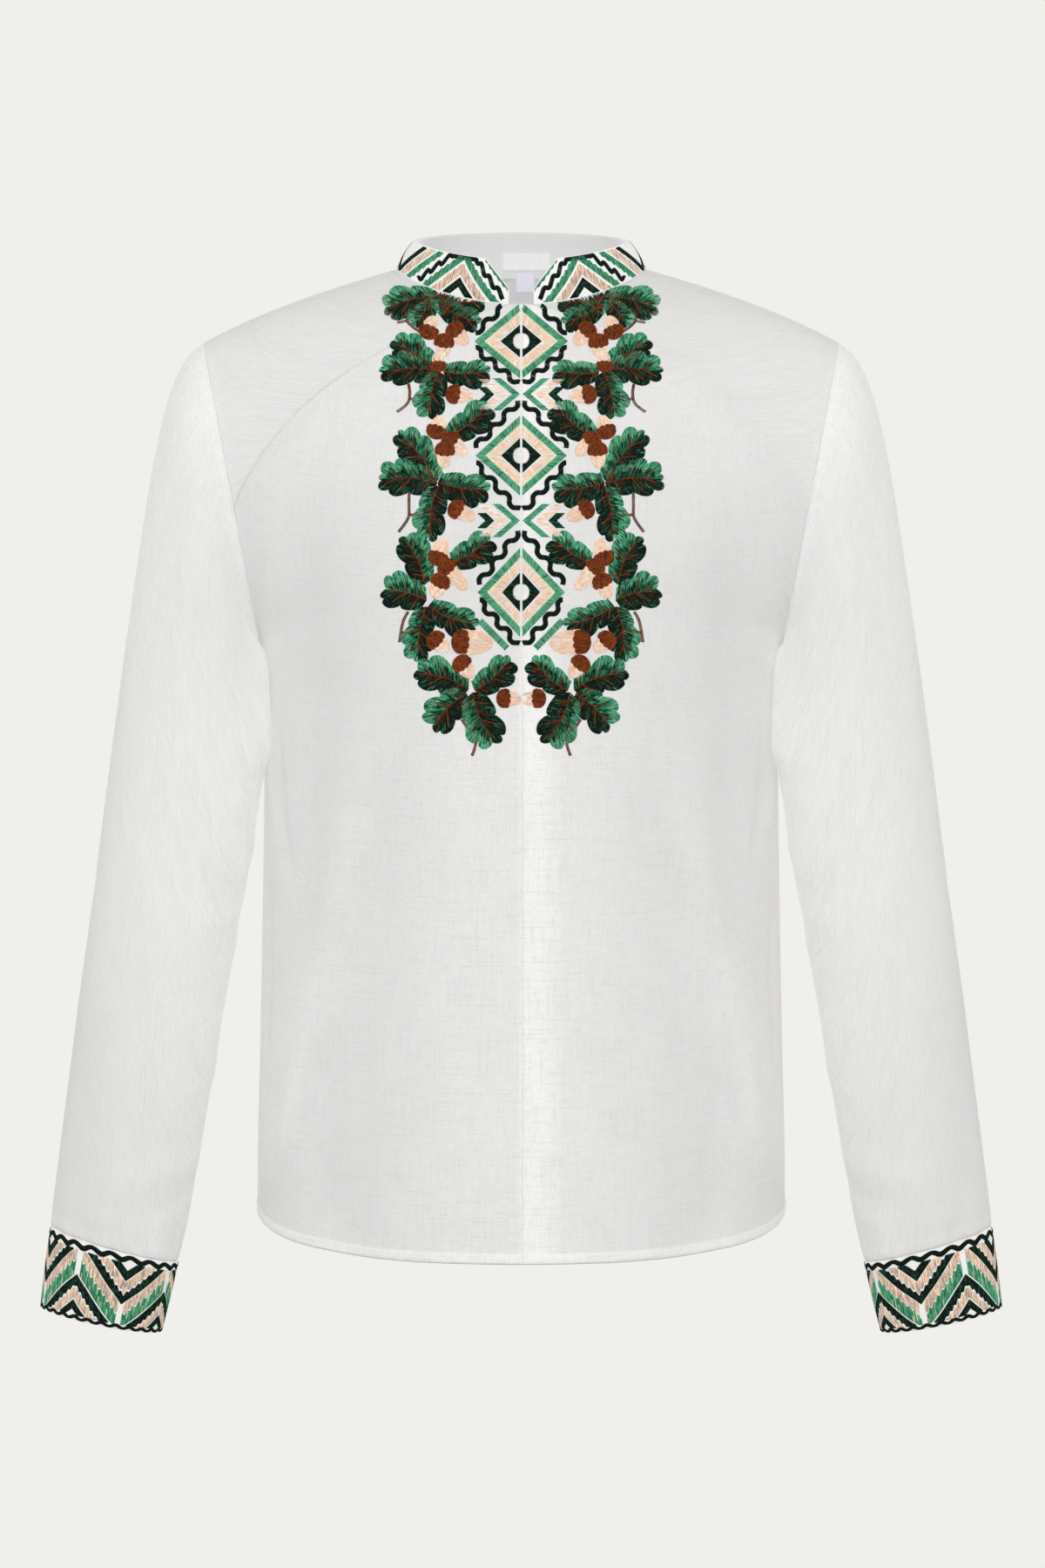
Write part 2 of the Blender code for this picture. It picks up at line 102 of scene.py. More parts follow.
def through(table: Sequence[Sequence[float]], place: Array) -> Array:
    """Reads a table at fractional row numbers, on a smooth curve through its rows.

    Args:
        table: The rows.
        place: Row numbers, any shape.

    Returns:
        The rows read there, with one more axis than place.
    """
    rows = np.array(table, float)
    place = np.asarray(place, float)
    index = np.clip(place.astype(int), 0, len(rows) - 2)
    share = (place - index)[..., None]
    before, start = rows[np.maximum(index - 1, 0)], rows[index]
    end, after = rows[index + 1], rows[np.minimum(index + 2, len(rows) - 1)]
    leave, arrive = (end - before) / 2, (after - start) / 2
    square, cube = share**2, share**3
    return (
        (2 * cube - 3 * square + 1) * start
        + (cube - 2 * square + share) * leave
        + (3 * square - 2 * cube) * end
        + (cube - square) * arrive
    )


def unit(vectors: Array) -> Array:
    """Scales vectors on the last axis to length one."""
    return vectors / (np.linalg.norm(vectors, axis=-1, keepdims=True) + 1e-12)


def run_length(points: Array, axis: int) -> Array:
    """Measures the way along an axis of a grid of points, from its start.

    Args:
        points: A grid of points.
        axis: The grid axis to walk along.

    Returns:
        The distance walked to each point.
    """
    steps = np.linalg.norm(np.diff(points, axis=axis), axis=-1)
    pad = [(0, 0)] * steps.ndim
    pad[axis] = (1, 0)
    return np.cumsum(np.pad(np.nan_to_num(steps), pad), axis=axis)


def read_along(path: Array, way: Array, spots: Array) -> Array:
    """Reads a path's points at distances walked along it."""
    return np.stack([np.interp(spots, way, path[:, axis]) for axis in range(path.shape[1])], axis=1)


def left_of(along: Array) -> Array:
    """Turns flat vectors a quarter to the left."""
    return np.stack([-along[..., 1], along[..., 0]], axis=-1)


def woven(points: Array, across: int = 1, up: int = 1) -> Array:
    """Weave coordinates of a grid: the way across and up the cloth, each with its sign."""
    return np.stack([across * run_length(points, 1), up * run_length(points, 0)], axis=-1)


# ---- meshes ----
@dataclass
class Panel:
    """A grid of cloth points with its weave coordinates and its count of layers, with painted light and shade
    added to that count.

    Rows and columns run so that the surface faces outwards. A point that isn't a
    number is left out. With wraps, the last column joins the first, and the weave
    coordinates have one column more.
    """

    points: Array
    weave: Array
    layers: Array
    wraps: bool = False

    def faces(self) -> tuple[Array, Array]:
        """The grid's quads and the weave coordinates of their corners.

        Returns:
            Vertex numbers by quad, and weave coordinates by quad corner.
        """
        rows, columns = self.points.shape[:2]
        last = columns if self.wraps else columns - 1
        row, column = np.meshgrid(np.arange(rows - 1), np.arange(last), indexing="ij")
        right = (column + 1) % columns
        corners = ((row, column), (row, right), (row + 1, right), (row + 1, column))
        quads = np.stack([r * columns + c for r, c in corners], axis=-1).reshape(-1, 4)
        spots = ((row, column), (row, column + 1), (row + 1, column + 1), (row + 1, column))
        coordinates = np.stack([self.weave[r, c] for r, c in spots], axis=-2).reshape(-1, 4, 2)
        whole = np.isfinite(self.points[..., 0]).reshape(-1)[quads].all(axis=1)
        return quads[whole], coordinates[whole]

    def area(self) -> float:
        """The panel's surface in square metres."""
        quads, _ = self.faces()
        flat = self.points.reshape(-1, 3)[quads]
        first = np.cross(flat[:, 1] - flat[:, 0], flat[:, 2] - flat[:, 0])
        second = np.cross(flat[:, 2] - flat[:, 0], flat[:, 3] - flat[:, 0])
        return float((np.linalg.norm(first, axis=1) + np.linalg.norm(second, axis=1)).sum() / 2)


def new_object(name: str, data: Mesh) -> Object:
    """Puts a mesh in the scene as an object at the origin."""
    made = bpy.data.objects.new(name, data)
    bpy.context.scene.collection.objects.link(made)
    return made


def settle(made: Object) -> Object:
    """Turns an object's modifiers into plain mesh and takes them off.

    Args:
        made: The object, with its modifiers live.

    Returns:
        The same object.
    """
    graph = bpy.context.evaluated_depsgraph_get()
    plain = bpy.data.meshes.new_from_object(
        made.evaluated_get(graph), preserve_all_data_layers=True, depsgraph=graph
    )
    plain.name = made.name
    made.modifiers.clear()
    made.data = plain
    return made


def paint_shade_inside(piece: Object, amount: float) -> None:
    """Paints shade on the cloth that faces forward behind the neck, down inside the collar.

    Args:
        piece: The cloth piece.
        amount: How much the painted shade darkens it.
    """
    data = piece.data
    spots, normals = np.empty(len(data.vertices) * 3), np.empty(len(data.vertices) * 3)
    ply_and_shading = np.empty(len(data.vertices))
    data.vertices.foreach_get("co", spots)
    data.vertices.foreach_get("normal", normals)
    data.attributes["ply_and_shading"].data.foreach_get("value", ply_and_shading)
    spots, normals = spots.reshape(-1, 3), normals.reshape(-1, 3)
    # Painted shade: forward-facing cloth behind the neck is darkened as if in the collar's shadow.
    inside = smooth(-normals[:, 1] / 0.5) * smooth((spots[:, 1] - 0.01) / 0.02)
    data.attributes["ply_and_shading"].data.foreach_set("value", (ply_and_shading - amount * inside).astype(np.float32))


def sew(name: str, panels: Sequence[Panel], thickness: float, soft_edge: float = 0.0) -> Object:
    """Makes one cloth piece of panels: joined where they meet, then given its thickness inwards.

    Args:
        name: The piece's name.
        panels: The grids of its outer face.
        thickness: The cloth's thickness.
        soft_edge: The radius of its rounded folds, or nothing.

    Returns:
        The piece, as plain mesh.
    """
    points, quads, coordinates, layers, offset = [], [], [], [], 0
    for panel in panels:
        faces, corners = panel.faces()
        used = np.unique(faces)
        number = np.full(panel.points.shape[0] * panel.points.shape[1], -1)
        number[used] = np.arange(len(used)) + offset
        points.append(panel.points.reshape(-1, 3)[used])
        layers.append(panel.layers.reshape(-1)[used])
        quads.append(number[faces])
        coordinates.append(corners)
        offset += len(used)
    data = bpy.data.meshes.new(name)
    data.from_pydata(np.concatenate(points).tolist(), [], np.concatenate(quads).tolist())
    weave = data.uv_layers.new(name="Weave")
    weave.data.foreach_set("uv", np.concatenate(coordinates).reshape(-1))
    # Each point's extra layers, with painted light and shade added to them.
    ply_and_shading = data.attributes.new("ply_and_shading", "FLOAT", "POINT")
    ply_and_shading.data.foreach_set("value", np.concatenate(layers).astype(np.float32))
    if len(panels) > 1:
        mesh = bmesh.new()
        mesh.from_mesh(data)
        bmesh.ops.remove_doubles(mesh, verts=mesh.verts, dist=2e-5)
        mesh.to_mesh(data)
        mesh.free()
    data.shade_smooth()
    made = new_object(name, data)
    cloth = made.modifiers.new("Cloth", "SOLIDIFY")
    cloth.thickness, cloth.offset, cloth.use_quality_normals = thickness, -1, True
    if soft_edge:
        edge = made.modifiers.new("Fold", "BEVEL")
        edge.width, edge.segments, edge.angle_limit = soft_edge, 2, math.radians(50)
        edge.harden_normals = False
    return settle(made)


def tube(points: Array, ply_and_shading: Array, hand: Hand) -> Panel:
    """Closes rings of the left side's points into a tube for either side.

    Args:
        points: The rings, one a row.
        ply_and_shading: Their count of extra layers, with painted light and shade added.
        hand: The side it is for.

    Returns:
        The panel.
    """
    weave = woven(np.concatenate([points, points[:, :1]], axis=1), 1, -1)
    points = mirrored(points, hand)
    if hand is Hand.RIGHT:
        points, ply_and_shading, weave = points[:, ::-1], ply_and_shading[:, ::-1], weave[:, ::-1]
    return Panel(points, weave, ply_and_shading, wraps=True)


# ---- the shirt's form ----
@dataclass(frozen=True)
class Fold:
    """A soft ridge (height above 0) or trough down the trunk, from its top to its foot."""

    top_x: float
    top_z: float
    foot_x: float
    foot_z: float
    width: float
    height: float

    def relief(self, x: Array, z: Array) -> Array:
        """How far the fold pushes the cloth out at x and z."""
        down = (self.top_z - z) / (self.top_z - self.foot_z)
        centre = self.top_x + (self.foot_x - self.top_x) * down
        fade = smooth(down / 0.35) * smooth((1.25 - down) / 0.3)
        return self.height * fade * np.exp(-(((x - centre) / self.width) ** 2))


@dataclass(frozen=True)
class Crease:
    """A finer fold, laid along the cloth. Its places are shares of the half width and heights.

    bow bends it sideways, and one side falls off more sharply than the other.
    """

    top_share: float
    top_z: float
    foot_share: float
    foot_z: float
    width: float
    height: float
    bow: float = 0.0
    lean: float = 0.0

    def relief(self, share: Array, z: Array) -> Array:
        """How far the crease pushes the cloth out at a share and a height."""
        down = (self.top_z - z) / (self.top_z - self.foot_z)
        centre = self.top_share + (self.foot_share - self.top_share) * down
        centre = centre + self.bow * np.sin(math.pi * np.clip(down, 0, 1))
        away = share - centre
        width = self.width * np.where(away > 0, 1 + self.lean, 1 - self.lean)
        fade = smooth(down / 0.3) * smooth((1 - down) / 0.3)
        return self.height * fade * np.exp(-((away / width) ** 2))


@dataclass(frozen=True)
class Trunk:
    """The form of the front or the back, between hem, side seams, armholes and neck."""

    side: Side
    hem_centre_z: float = -0.6975
    hem_side_z: float = -0.667
    hem_corner: float = 0.7
    underarm_z: float = -0.262
    handle: float = 0.62
    seam_gap: float = 0.0004
    rows_to_underarm: int = 12
    rows_to_neck: int = 7
    rows_to_shoulder: int = 8
    profile: tuple = (
        (-0.72, 0.1903, 0.1215, 0.117), (-0.64, 0.1892, 0.12, 0.1145),
        (-0.54, 0.187, 0.1165, 0.1075), (-0.44, 0.1853, 0.1145, 0.101),
        (-0.35, 0.1842, 0.1165, 0.103), (-0.262, 0.185, 0.1185, 0.108),
        (-0.19, 0.195, 0.1135, 0.1095), (-0.12, 0.21, 0.0985, 0.105),
        (-0.06, 0.225, 0.0805, 0.0915), (-0.026, 0.228, 0.069, 0.078),
        (0.004, 0.228, 0.06, 0.062),
    )
    neck_seam: tuple = (0.089, 0.069, 0.062, 0.0055, -0.026, 0.005, 1.5, 1.5)
    armhole: tuple = (0.2285, 0.0, -0.048, 0.1862, 0.0, -0.272, 0.065)
    armhole_inset: float = 0.0028
    underarm_ease: float = 1.2
    seam_dip: float = 0.0004
    front_folds: tuple = (
        (0.128, -0.17, 0.15, -0.53, 0.024, -0.0068), (0.105, -0.3, 0.168, -0.62, 0.02, 0.0052),
        (0.078, -0.36, 0.13, -0.66, 0.022, -0.0046), (0.05, -0.43, 0.074, -0.72, 0.022, 0.0026),
    )
    back_folds: tuple = (
        (0.14, -0.16, 0.148, -0.5, 0.024, -0.0058), (0.1, -0.24, 0.156, -0.64, 0.02, 0.0052),
        (0.064, -0.33, 0.108, -0.69, 0.022, -0.0052), (0.026, -0.15, 0.044, -0.72, 0.024, 0.004),
    )
    front_creases: tuple = (
        (0.6, -0.11, 0.58, -0.52, 0.11, -0.0064, 0.01, 0.15),
        (0.43, -0.37, 0.72, -0.67, 0.06, 0.0056, -0.02, 0.2),
        (0.54, -0.53, 0.46, -0.72, 0.07, -0.0052, 0.01, -0.2),
        (0.25, -0.31, 0.44, -0.61, 0.05, -0.0042, 0.01, 0.2),
        (0.78, -0.3, 0.66, -0.45, 0.036, -0.0026, 0.03, 0.35),
        (0.82, -0.42, 0.88, -0.64, 0.04, -0.003, -0.02, 0.3),
        (0.3, -0.52, 0.34, -0.72, 0.036, 0.0026, -0.01, 0.2),
        (0.19, -0.54, 0.22, -0.7, 0.03, -0.0018, 0.01, 0.2),
        (0.88, -0.3, 0.76, -0.42, 0.03, 0.002, 0.02, -0.3),
        (0.36, -0.38, 0.4, -0.5, 0.026, 0.0016, 0.02, -0.3),
    )
    back_creases: tuple = (
        (0.62, -0.12, 0.56, -0.48, 0.1, -0.0058, 0.01, 0.15),
        (0.4, -0.33, 0.7, -0.65, 0.06, 0.0052, -0.02, 0.2),
        (0.52, -0.51, 0.44, -0.72, 0.064, -0.005, 0.01, -0.2),
        (0.22, -0.19, 0.36, -0.56, 0.052, -0.0044, 0.02, 0.2),
        (0.12, -0.26, 0.15, -0.7, 0.04, 0.003, -0.01, 0.2),
        (0.8, -0.29, 0.66, -0.45, 0.036, -0.0028, 0.03, 0.35),
        (0.84, -0.43, 0.9, -0.65, 0.04, -0.003, -0.02, 0.3),
        (0.3, -0.5, 0.33, -0.71, 0.034, 0.0026, 0.01, 0.2),
        (0.72, -0.11, 0.64, -0.25, 0.034, 0.0018, 0.02, 0.25),
    )

    @property
    def neck_row(self) -> int:
        """The row that reaches the neck seam on the centre line."""
        return self.rows_to_underarm + self.rows_to_neck

    @property
    def all_rows(self) -> int:
        """The row that runs along the shoulder seam."""
        return self.neck_row + self.rows_to_shoulder

    def depths(self, z: Array) -> Array:
        """Half width, front depth and back depth at heights z."""
        heights = np.array([row[0] for row in self.profile])
        places = np.interp(z, heights, np.arange(len(heights)))
        return through([row[1:] for row in self.profile], places)

    def neck_point(self, degrees: Array) -> Array:
        """Points of the neck seam. 0 is the throat, 90 the wearer's left, 180 the nape."""
        return oval_point(self.neck_seam, degrees)

    def middle_edge(self, row: Array) -> Array:
        """Where rows start: on the centre line, then on the neck seam.

        Args:
            row: Row places.

        Returns:
            One point a row.
        """
        front = self.side is Side.FRONT
        to_underarm = np.clip(row / self.rows_to_underarm, 0, 1)
        to_neck = np.clip((row - self.rows_to_underarm) / self.rows_to_neck, 0, 1)
        to_shoulder = np.clip((row - self.neck_row) / self.rows_to_shoulder, 0, 1)
        neck_z = self.neck_seam[4 if front else 5]
        z = self.hem_centre_z + (self.underarm_z - self.hem_centre_z) * to_underarm
        z = z + (neck_z - self.underarm_z) * to_neck
        neck_y = abs(self.neck_seam[1 if front else 2])
        depth = self.depths(z)[:, 1 if front else 2]
        depth = depth + (neck_y - depth) * smooth((to_neck - 0.7) / 0.3)
        centre = np.stack([np.zeros_like(z), self.side.value * depth, z], axis=-1)
        turn = 90 * to_shoulder
        on_neck = self.neck_point(turn if front else 180 - turn)
        return np.where((to_shoulder > 0)[:, None], on_neck, centre)

    def outer_edge(self, row: Array) -> Array:
        """Where rows end: on the side seam, then on the armhole seam.

        Args:
            row: Row places.

        Returns:
            One point a row.
        """
        climb = row / self.rows_to_underarm
        z = self.hem_side_z + (self.armhole[5] - self.hem_side_z) * np.clip(climb, 0, 1)
        half_width = self.depths(z)[:, 0]
        half_width = half_width + (self.armhole[3] - half_width) * smooth((climb - 0.9) / 0.1)
        seam = np.stack([half_width, np.zeros_like(z), z], axis=-1)
        to_top = (row - self.rows_to_underarm) / (self.rows_to_neck + self.rows_to_shoulder)
        turn = 180 * (1 - np.clip(to_top, 0, 1))
        hole = ring_point(np.array(self.armhole), -self.side.value * turn, self.armhole_inset)
        return np.where((row > self.rows_to_underarm)[:, None], hole, seam)

    def bare(self, row: Array, share: Array) -> Array:
        """The left half's surface with its main folds, eased where the armhole starts.

        Args:
            row: Row places.
            share: Places across each row, 0 at the middle and 1 at the outer edge.

        Returns:
            A grid of points.
        """
        points = self.drafted(row, share)
        away = (row - self.rows_to_underarm) / self.underarm_ease
        near = np.exp(-(away**2))[:, None] * (1 - smooth((share - 0.84) / 0.14))
        steps = (-1.0, -0.5, 0.5, 1.0)
        eased = sum(self.drafted(row + step * self.underarm_ease, share) for step in steps) / len(steps)
        points[..., 1] += near * (eased - points)[..., 1]
        return points

    def drafted(self, row: Array, share: Array) -> Array:
        """The left half's surface as its edges give it, with its main folds.

        Args:
            row: Row places.
            share: Places across each row.

        Returns:
            A grid of points.
        """
        start, end = self.middle_edge(row), self.outer_edge(row)
        above = np.maximum(row - self.rows_to_underarm, 0)
        climb = smooth(above / (self.rows_to_neck + self.rows_to_shoulder))
        fall = smooth(above / self.rows_to_neck)
        width = end[:, 0] - start[:, 0]
        leave, arrive = np.zeros_like(start), np.zeros_like(start)
        leave[:, 0] = self.handle * end[:, 0] * (1 - climb) + 0.96 * width / 3 * climb
        leave[:, 2] = -0.27 * width / 3 * fall
        arrive[:, 0] = -0.87 * width / 3 * climb
        arrive[:, 1] = self.side.value * self.handle * np.abs(start[:, 1]) * (1 - climb) ** 1.3
        arrive[:, 2] = 0.49 * width / 3 * climb
        arrive[:, 2] -= (end[:, 2] - start[:, 2]) * self.hem_corner * (1 - climb)
        part = share[..., None]
        rest = 1 - part
        points = (
            rest**3 * start[:, None]
            + 3 * rest**2 * part * (start + leave)[:, None]
            + 3 * rest * part**2 * (end + arrive)[:, None]
            + part**3 * end[:, None]
        )
        folds = self.front_folds if self.side is Side.FRONT else self.back_folds
        height = sum(Fold(*fold).relief(points[..., 0], points[..., 2]) for fold in folds)
        height = height * smooth(share / 0.1) * smooth((1 - share) / 0.12)
        depth = self.side.value * points[..., 1] + height
        points[..., 1] = self.side.value * np.maximum(depth, self.seam_gap / 2)
        return points

    def outwards(self, row: Array, share: Array) -> Array:
        """Unit normals of the left half's surface, facing out of the shirt."""
        step = 0.02
        up = self.bare(row + step / 2, share) - self.bare(row - step / 2, share)
        inner, outer = np.clip(share - step / 4, 0, 1), np.clip(share + step / 4, 0, 1)
        across = self.bare(row, outer) - self.bare(row, inner)
        return unit(np.cross(across, up)) * -self.side.value

    def surface(self, row: Array, share: Array) -> Array:
        """The left half's surface with its fine creases and its dip along the seams.

        Args:
            row: Row places.
            share: Places across each row.

        Returns:
            A grid of points.
        """
        points = self.bare(row, share)
        creases = self.front_creases if self.side is Side.FRONT else self.back_creases
        relief = sum(Crease(*crease).relief(share, points[..., 2]) for crease in creases)
        relief = relief * smooth(share / 0.1) * smooth((1 - share) / 0.1)
        from_seam = (1 - share) * 0.24
        relief = relief - self.seam_dip * np.exp(-((from_seam / 0.003) ** 2))
        from_shoulder = (self.all_rows - row)[:, None] * 0.017
        relief = relief - self.seam_dip * np.exp(-((from_shoulder / 0.004) ** 2))
        normal = self.outwards(np.clip(row, 0.02, self.all_rows - 0.02), share)
        return points + normal * relief[..., None]

    def share_at(self, row: Array, x: Array) -> Array:
        """The shares across each row, one row of them a row place, that lie x from the middle."""
        shares = np.tile(np.linspace(0, 0.6, 120), (len(row), 1))
        return np.array([np.interp(x, *pair) for pair in zip(self.bare(row, shares)[..., 0], shares)])


def oval_point(oval: Sequence[float], degrees: Array) -> Array:
    """Points of an oval round the neck. 0 is the throat, 90 the wearer's left, 180 the nape.

    Args:
        oval: Half width, front and back depth, side, front and back height, front and back power.
        degrees: Turns round the neck.

    Returns:
        One point a turn.
    """
    half_width, front, back, side_z, front_z, back_z, front_power, back_power = oval
    turn = np.radians(degrees)
    ahead = np.cos(turn)
    depth = np.where(ahead > 0, front, back)
    end_z = np.where(ahead > 0, front_z, back_z)
    power = np.where(ahead > 0, front_power, back_power)
    z = side_z + (end_z - side_z) * np.abs(ahead) ** power
    return np.stack([half_width * np.sin(turn), -depth * ahead, z], axis=-1)


def ring_point(ring: Array, degrees: Array, inset: float | Array = 0.0) -> Array:
    """Points of a sleeve ring. 0 is its outer point, 90 its front, 180 its inner point.

    Args:
        ring: Outer point, inner point and half depth, on the last axis.
        degrees: Turns round the ring.
        inset: How much nearer the middle the ring's front and back lie.

    Returns:
        One point a turn.
    """
    outer, inner, half_depth = ring[..., 0:3], ring[..., 3:6], ring[..., 6]
    across, along = np.sin(np.radians(degrees)), np.cos(np.radians(degrees))
    points = (outer + inner) / 2 + (outer - inner) / 2 * along[..., None]
    return points + np.stack([-inset * np.abs(across), -half_depth * across, 0 * across], axis=-1)


def mirrored(points: Array, hand: Hand) -> Array:
    """The same points on the wearer's left or right."""
    return points * np.array((hand.value, 1.0, 1.0))


# ---- finishes ----
class Pen:
    """Draws nodes and their links in one node tree."""

    def __init__(self, tree: NodeTree) -> None:
        """Takes the tree to draw in."""
        self.tree = tree

    def add(self, kind: str, inputs: dict | None = None, **settings: object) -> Node:
        """Adds a node.

        Args:
            kind: The node's type name.
            inputs: Values or sockets for its inputs, by name or number.
            **settings: The node's own settings.

        Returns:
            The node.
        """
        node = self.tree.nodes.new(kind)
        for name, value in settings.items():
            setattr(node, name, value)
        self.feed(node, inputs or {})
        return node

    def feed(self, node: Node, inputs: dict) -> None:
        """Links sockets and sets values at a node's inputs, by name or number."""
        for name, value in inputs.items():
            if isinstance(value, Socket):
                self.tree.links.new(value, node.inputs[name])
            else:
                node.inputs[name].default_value = value

    def sum(self, operation: str, *values: float | Socket) -> Socket:
        """Adds a Math node and returns its result."""
        return self.add("ShaderNodeMath", dict(enumerate(values)), operation=operation).outputs[0]

    def spread(self, value: Socket, low: float, high: float, to_low: float, to_high: float) -> Socket:
        """Adds a smooth Map Range node and returns its result."""
        inputs = {"Value": value, "From Min": low, "From Max": high, "To Min": to_low, "To Max": to_high}
        node = self.add("ShaderNodeMapRange", inputs, interpolation_type="SMOOTHSTEP")
        return node.outputs["Result"]

    def grain(self, vector: Socket, scale: float, detail: float = 2.0) -> Socket:
        """Adds a Noise Texture and returns its value."""
        inputs = {"Vector": vector, "Scale": scale, "Detail": detail, "Roughness": 0.6}
        return self.add("ShaderNodeTexNoise", inputs).outputs[0]

    def stretched(self, vector: Socket, across: float, along: float) -> Socket:
        """Scales a vector's first two axes and returns it."""
        inputs = {0: vector, 1: (across, along, 1.0)}
        return self.add("ShaderNodeVectorMath", inputs, operation="MULTIPLY").outputs[0]

    def mix(self, share: Socket, first: Socket | tuple, second: tuple, **settings: object) -> Socket:
        """Adds a colour Mix node and returns its result."""
        inputs = {0: share, 6: first, 7: second}
        return self.add("ShaderNodeMix", inputs, data_type="RGBA", **settings).outputs[2]

    def carried(self, name: str) -> Socket:
        """Reads a number that the mesh carries."""
        return self.add("ShaderNodeAttribute", attribute_name=name).outputs["Fac"]


def new_finish(name: str) -> tuple:
    """Starts a material and returns it with its pen and its shader."""
    made = bpy.data.materials.new(name)
    made.use_nodes = True
    return made, Pen(made.node_tree), made.node_tree.nodes["Principled BSDF"]


def node_group(name: str, kind: str, inputs: Sequence[tuple], outputs: Sequence[tuple]) -> tuple:
    """Starts a node group with named sockets.

    Args:
        name: The group's name.
        kind: The tree's type name.
        inputs: Name, socket type and default value of each input.
        outputs: Name and socket type of each output.

    Returns:
        The group, its pen, its input node and its output node.
    """
    tree = bpy.data.node_groups.new(name, kind)
    for label, socket, value in inputs:
        made = tree.interface.new_socket(name=label, in_out="INPUT", socket_type=socket)
        if value is not None:
            made.default_value = value
    for label, socket in outputs:
        tree.interface.new_socket(name=label, in_out="OUTPUT", socket_type=socket)
    pen = Pen(tree)
    return tree, pen, pen.add("NodeGroupInput"), pen.add("NodeGroupOutput")


def linen_weave_group() -> NodeTree:
    """The weave that every linen finish uses: threads, slubs and a little unevenness.

    Returns:
        A shader group that puts out a tint mask, a height and a roughness.
    """
    number, vector = "NodeSocketFloat", "NodeSocketVector"
    tree, pen, given, result = node_group(
        "linen_weave",
        "ShaderNodeTree",
        (("Cloth", vector, None), ("Thread Pitch", number, 0.0006), ("Slub Strength", number, 1.0)),
        (("Tint", number), ("Height", number), ("Roughness", number)),
    )
    cloth = given.outputs["Cloth"]
    split = pen.add("ShaderNodeSeparateXYZ", {0: cloth})
    turns = pen.sum("DIVIDE", 2 * math.pi, given.outputs["Thread Pitch"])
    warp = pen.sum("COSINE", pen.sum("MULTIPLY", split.outputs[0], turns))
    weft = pen.sum("COSINE", pen.sum("MULTIPLY", split.outputs[1], turns))
    checker = pen.sum("MULTIPLY", warp, weft)
    slub_up = pen.grain(pen.stretched(cloth, 620.0, 24.0), 1.0)
    slub_across = pen.grain(pen.stretched(cloth, 24.0, 620.0), 1.0)
    fine_up = pen.grain(pen.stretched(cloth, 1500.0, 120.0), 1.0, 1.0)
    fine_across = pen.grain(pen.stretched(cloth, 120.0, 1500.0), 1.0, 1.0)
    thin_up = pen.spread(slub_up, 0.5, 0.72, 0.0, 0.9)
    thin_across = pen.spread(slub_across, 0.5, 0.72, 0.0, 1.1)
    fine = pen.spread(pen.sum("ADD", fine_up, fine_across), 0.85, 1.25, 0.0, 1.3)
    thick = pen.spread(slub_up, 0.3, 0.44, 1.0, 0.0)
    cloudy = pen.grain(pen.stretched(cloth, 26.0, 16.0), 1.0)
    slubs = pen.sum("SUBTRACT", pen.sum("ADD", thin_up, thin_across), pen.sum("MULTIPLY", thick, 0.5))
    slubs = pen.sum("ADD", slubs, fine)
    slubs = pen.sum("MULTIPLY", slubs, given.outputs["Slub Strength"])
    tint = pen.sum("ADD", slubs, pen.spread(cloudy, 0.3, 0.7, -0.25, 0.25))
    height = pen.sum("ADD", pen.sum("MULTIPLY", checker, 0.35), pen.sum("MULTIPLY", slubs, -0.9))
    rough = pen.sum("ADD", 0.84, pen.sum("MULTIPLY", checker, 0.04))
    pen.feed(result, {"Tint": tint, "Height": height, "Roughness": rough})
    return tree


@dataclass(frozen=True)
class Linen:
    """Bleached linen: a fine plain weave with slubs, a shade paler where it lies double, and paler or darker
    where light and shade are painted into it.
    """

    name: str = "bleached_linen"
    thread: tuple = (0.74, 0.736, 0.731, 1.0)
    shade: tuple = (0.65, 0.643, 0.641, 1.0)
    # The pale colour, both for cloth that lies double and for painted light.
    doubled_and_lit: tuple = (0.9, 0.895, 0.883, 1.0)
    pitch: float = 0.0006
    slubs: float = 1.0
    sheen: float = 0.12
    relief: float = 0.0001

    def material(self, weave: NodeTree) -> Material:
        """Builds the finish.

        Args:
            weave: The shared weave group.

        Returns:
            The material.
        """
        made, pen, shader = new_finish(self.name)
        cloth = pen.add("ShaderNodeUVMap", uv_map="Weave").outputs[0]
        group = pen.add("ShaderNodeGroup", node_tree=weave)
        pen.feed(group, {"Cloth": cloth, "Thread Pitch": self.pitch, "Slub Strength": self.slubs})
        tint, height, rough = (group.outputs[name] for name in ("Tint", "Height", "Roughness"))
        # Painted light and shade: the carried value mixes the linen towards its pale colour where the cloth
        # lies double and where light is painted, and below its thread colour where shade is painted.
        body = pen.mix(pen.carried("ply_and_shading"), self.thread, self.doubled_and_lit, clamp_factor=False)
        toned = pen.mix(pen.sum("MULTIPLY", tint, 0.22), body, self.shade)
        bump = pen.add("ShaderNodeBump", {"Height": height, "Strength": 0.7, "Distance": self.relief})
        pen.feed(shader, {"Base Color": toned, "Roughness": rough, "Normal": bump.outputs[0]})
        pen.feed(shader, {"Sheen Weight": self.sheen, "Sheen Roughness": 0.5, "Specular IOR Level": 0.25})
        return made


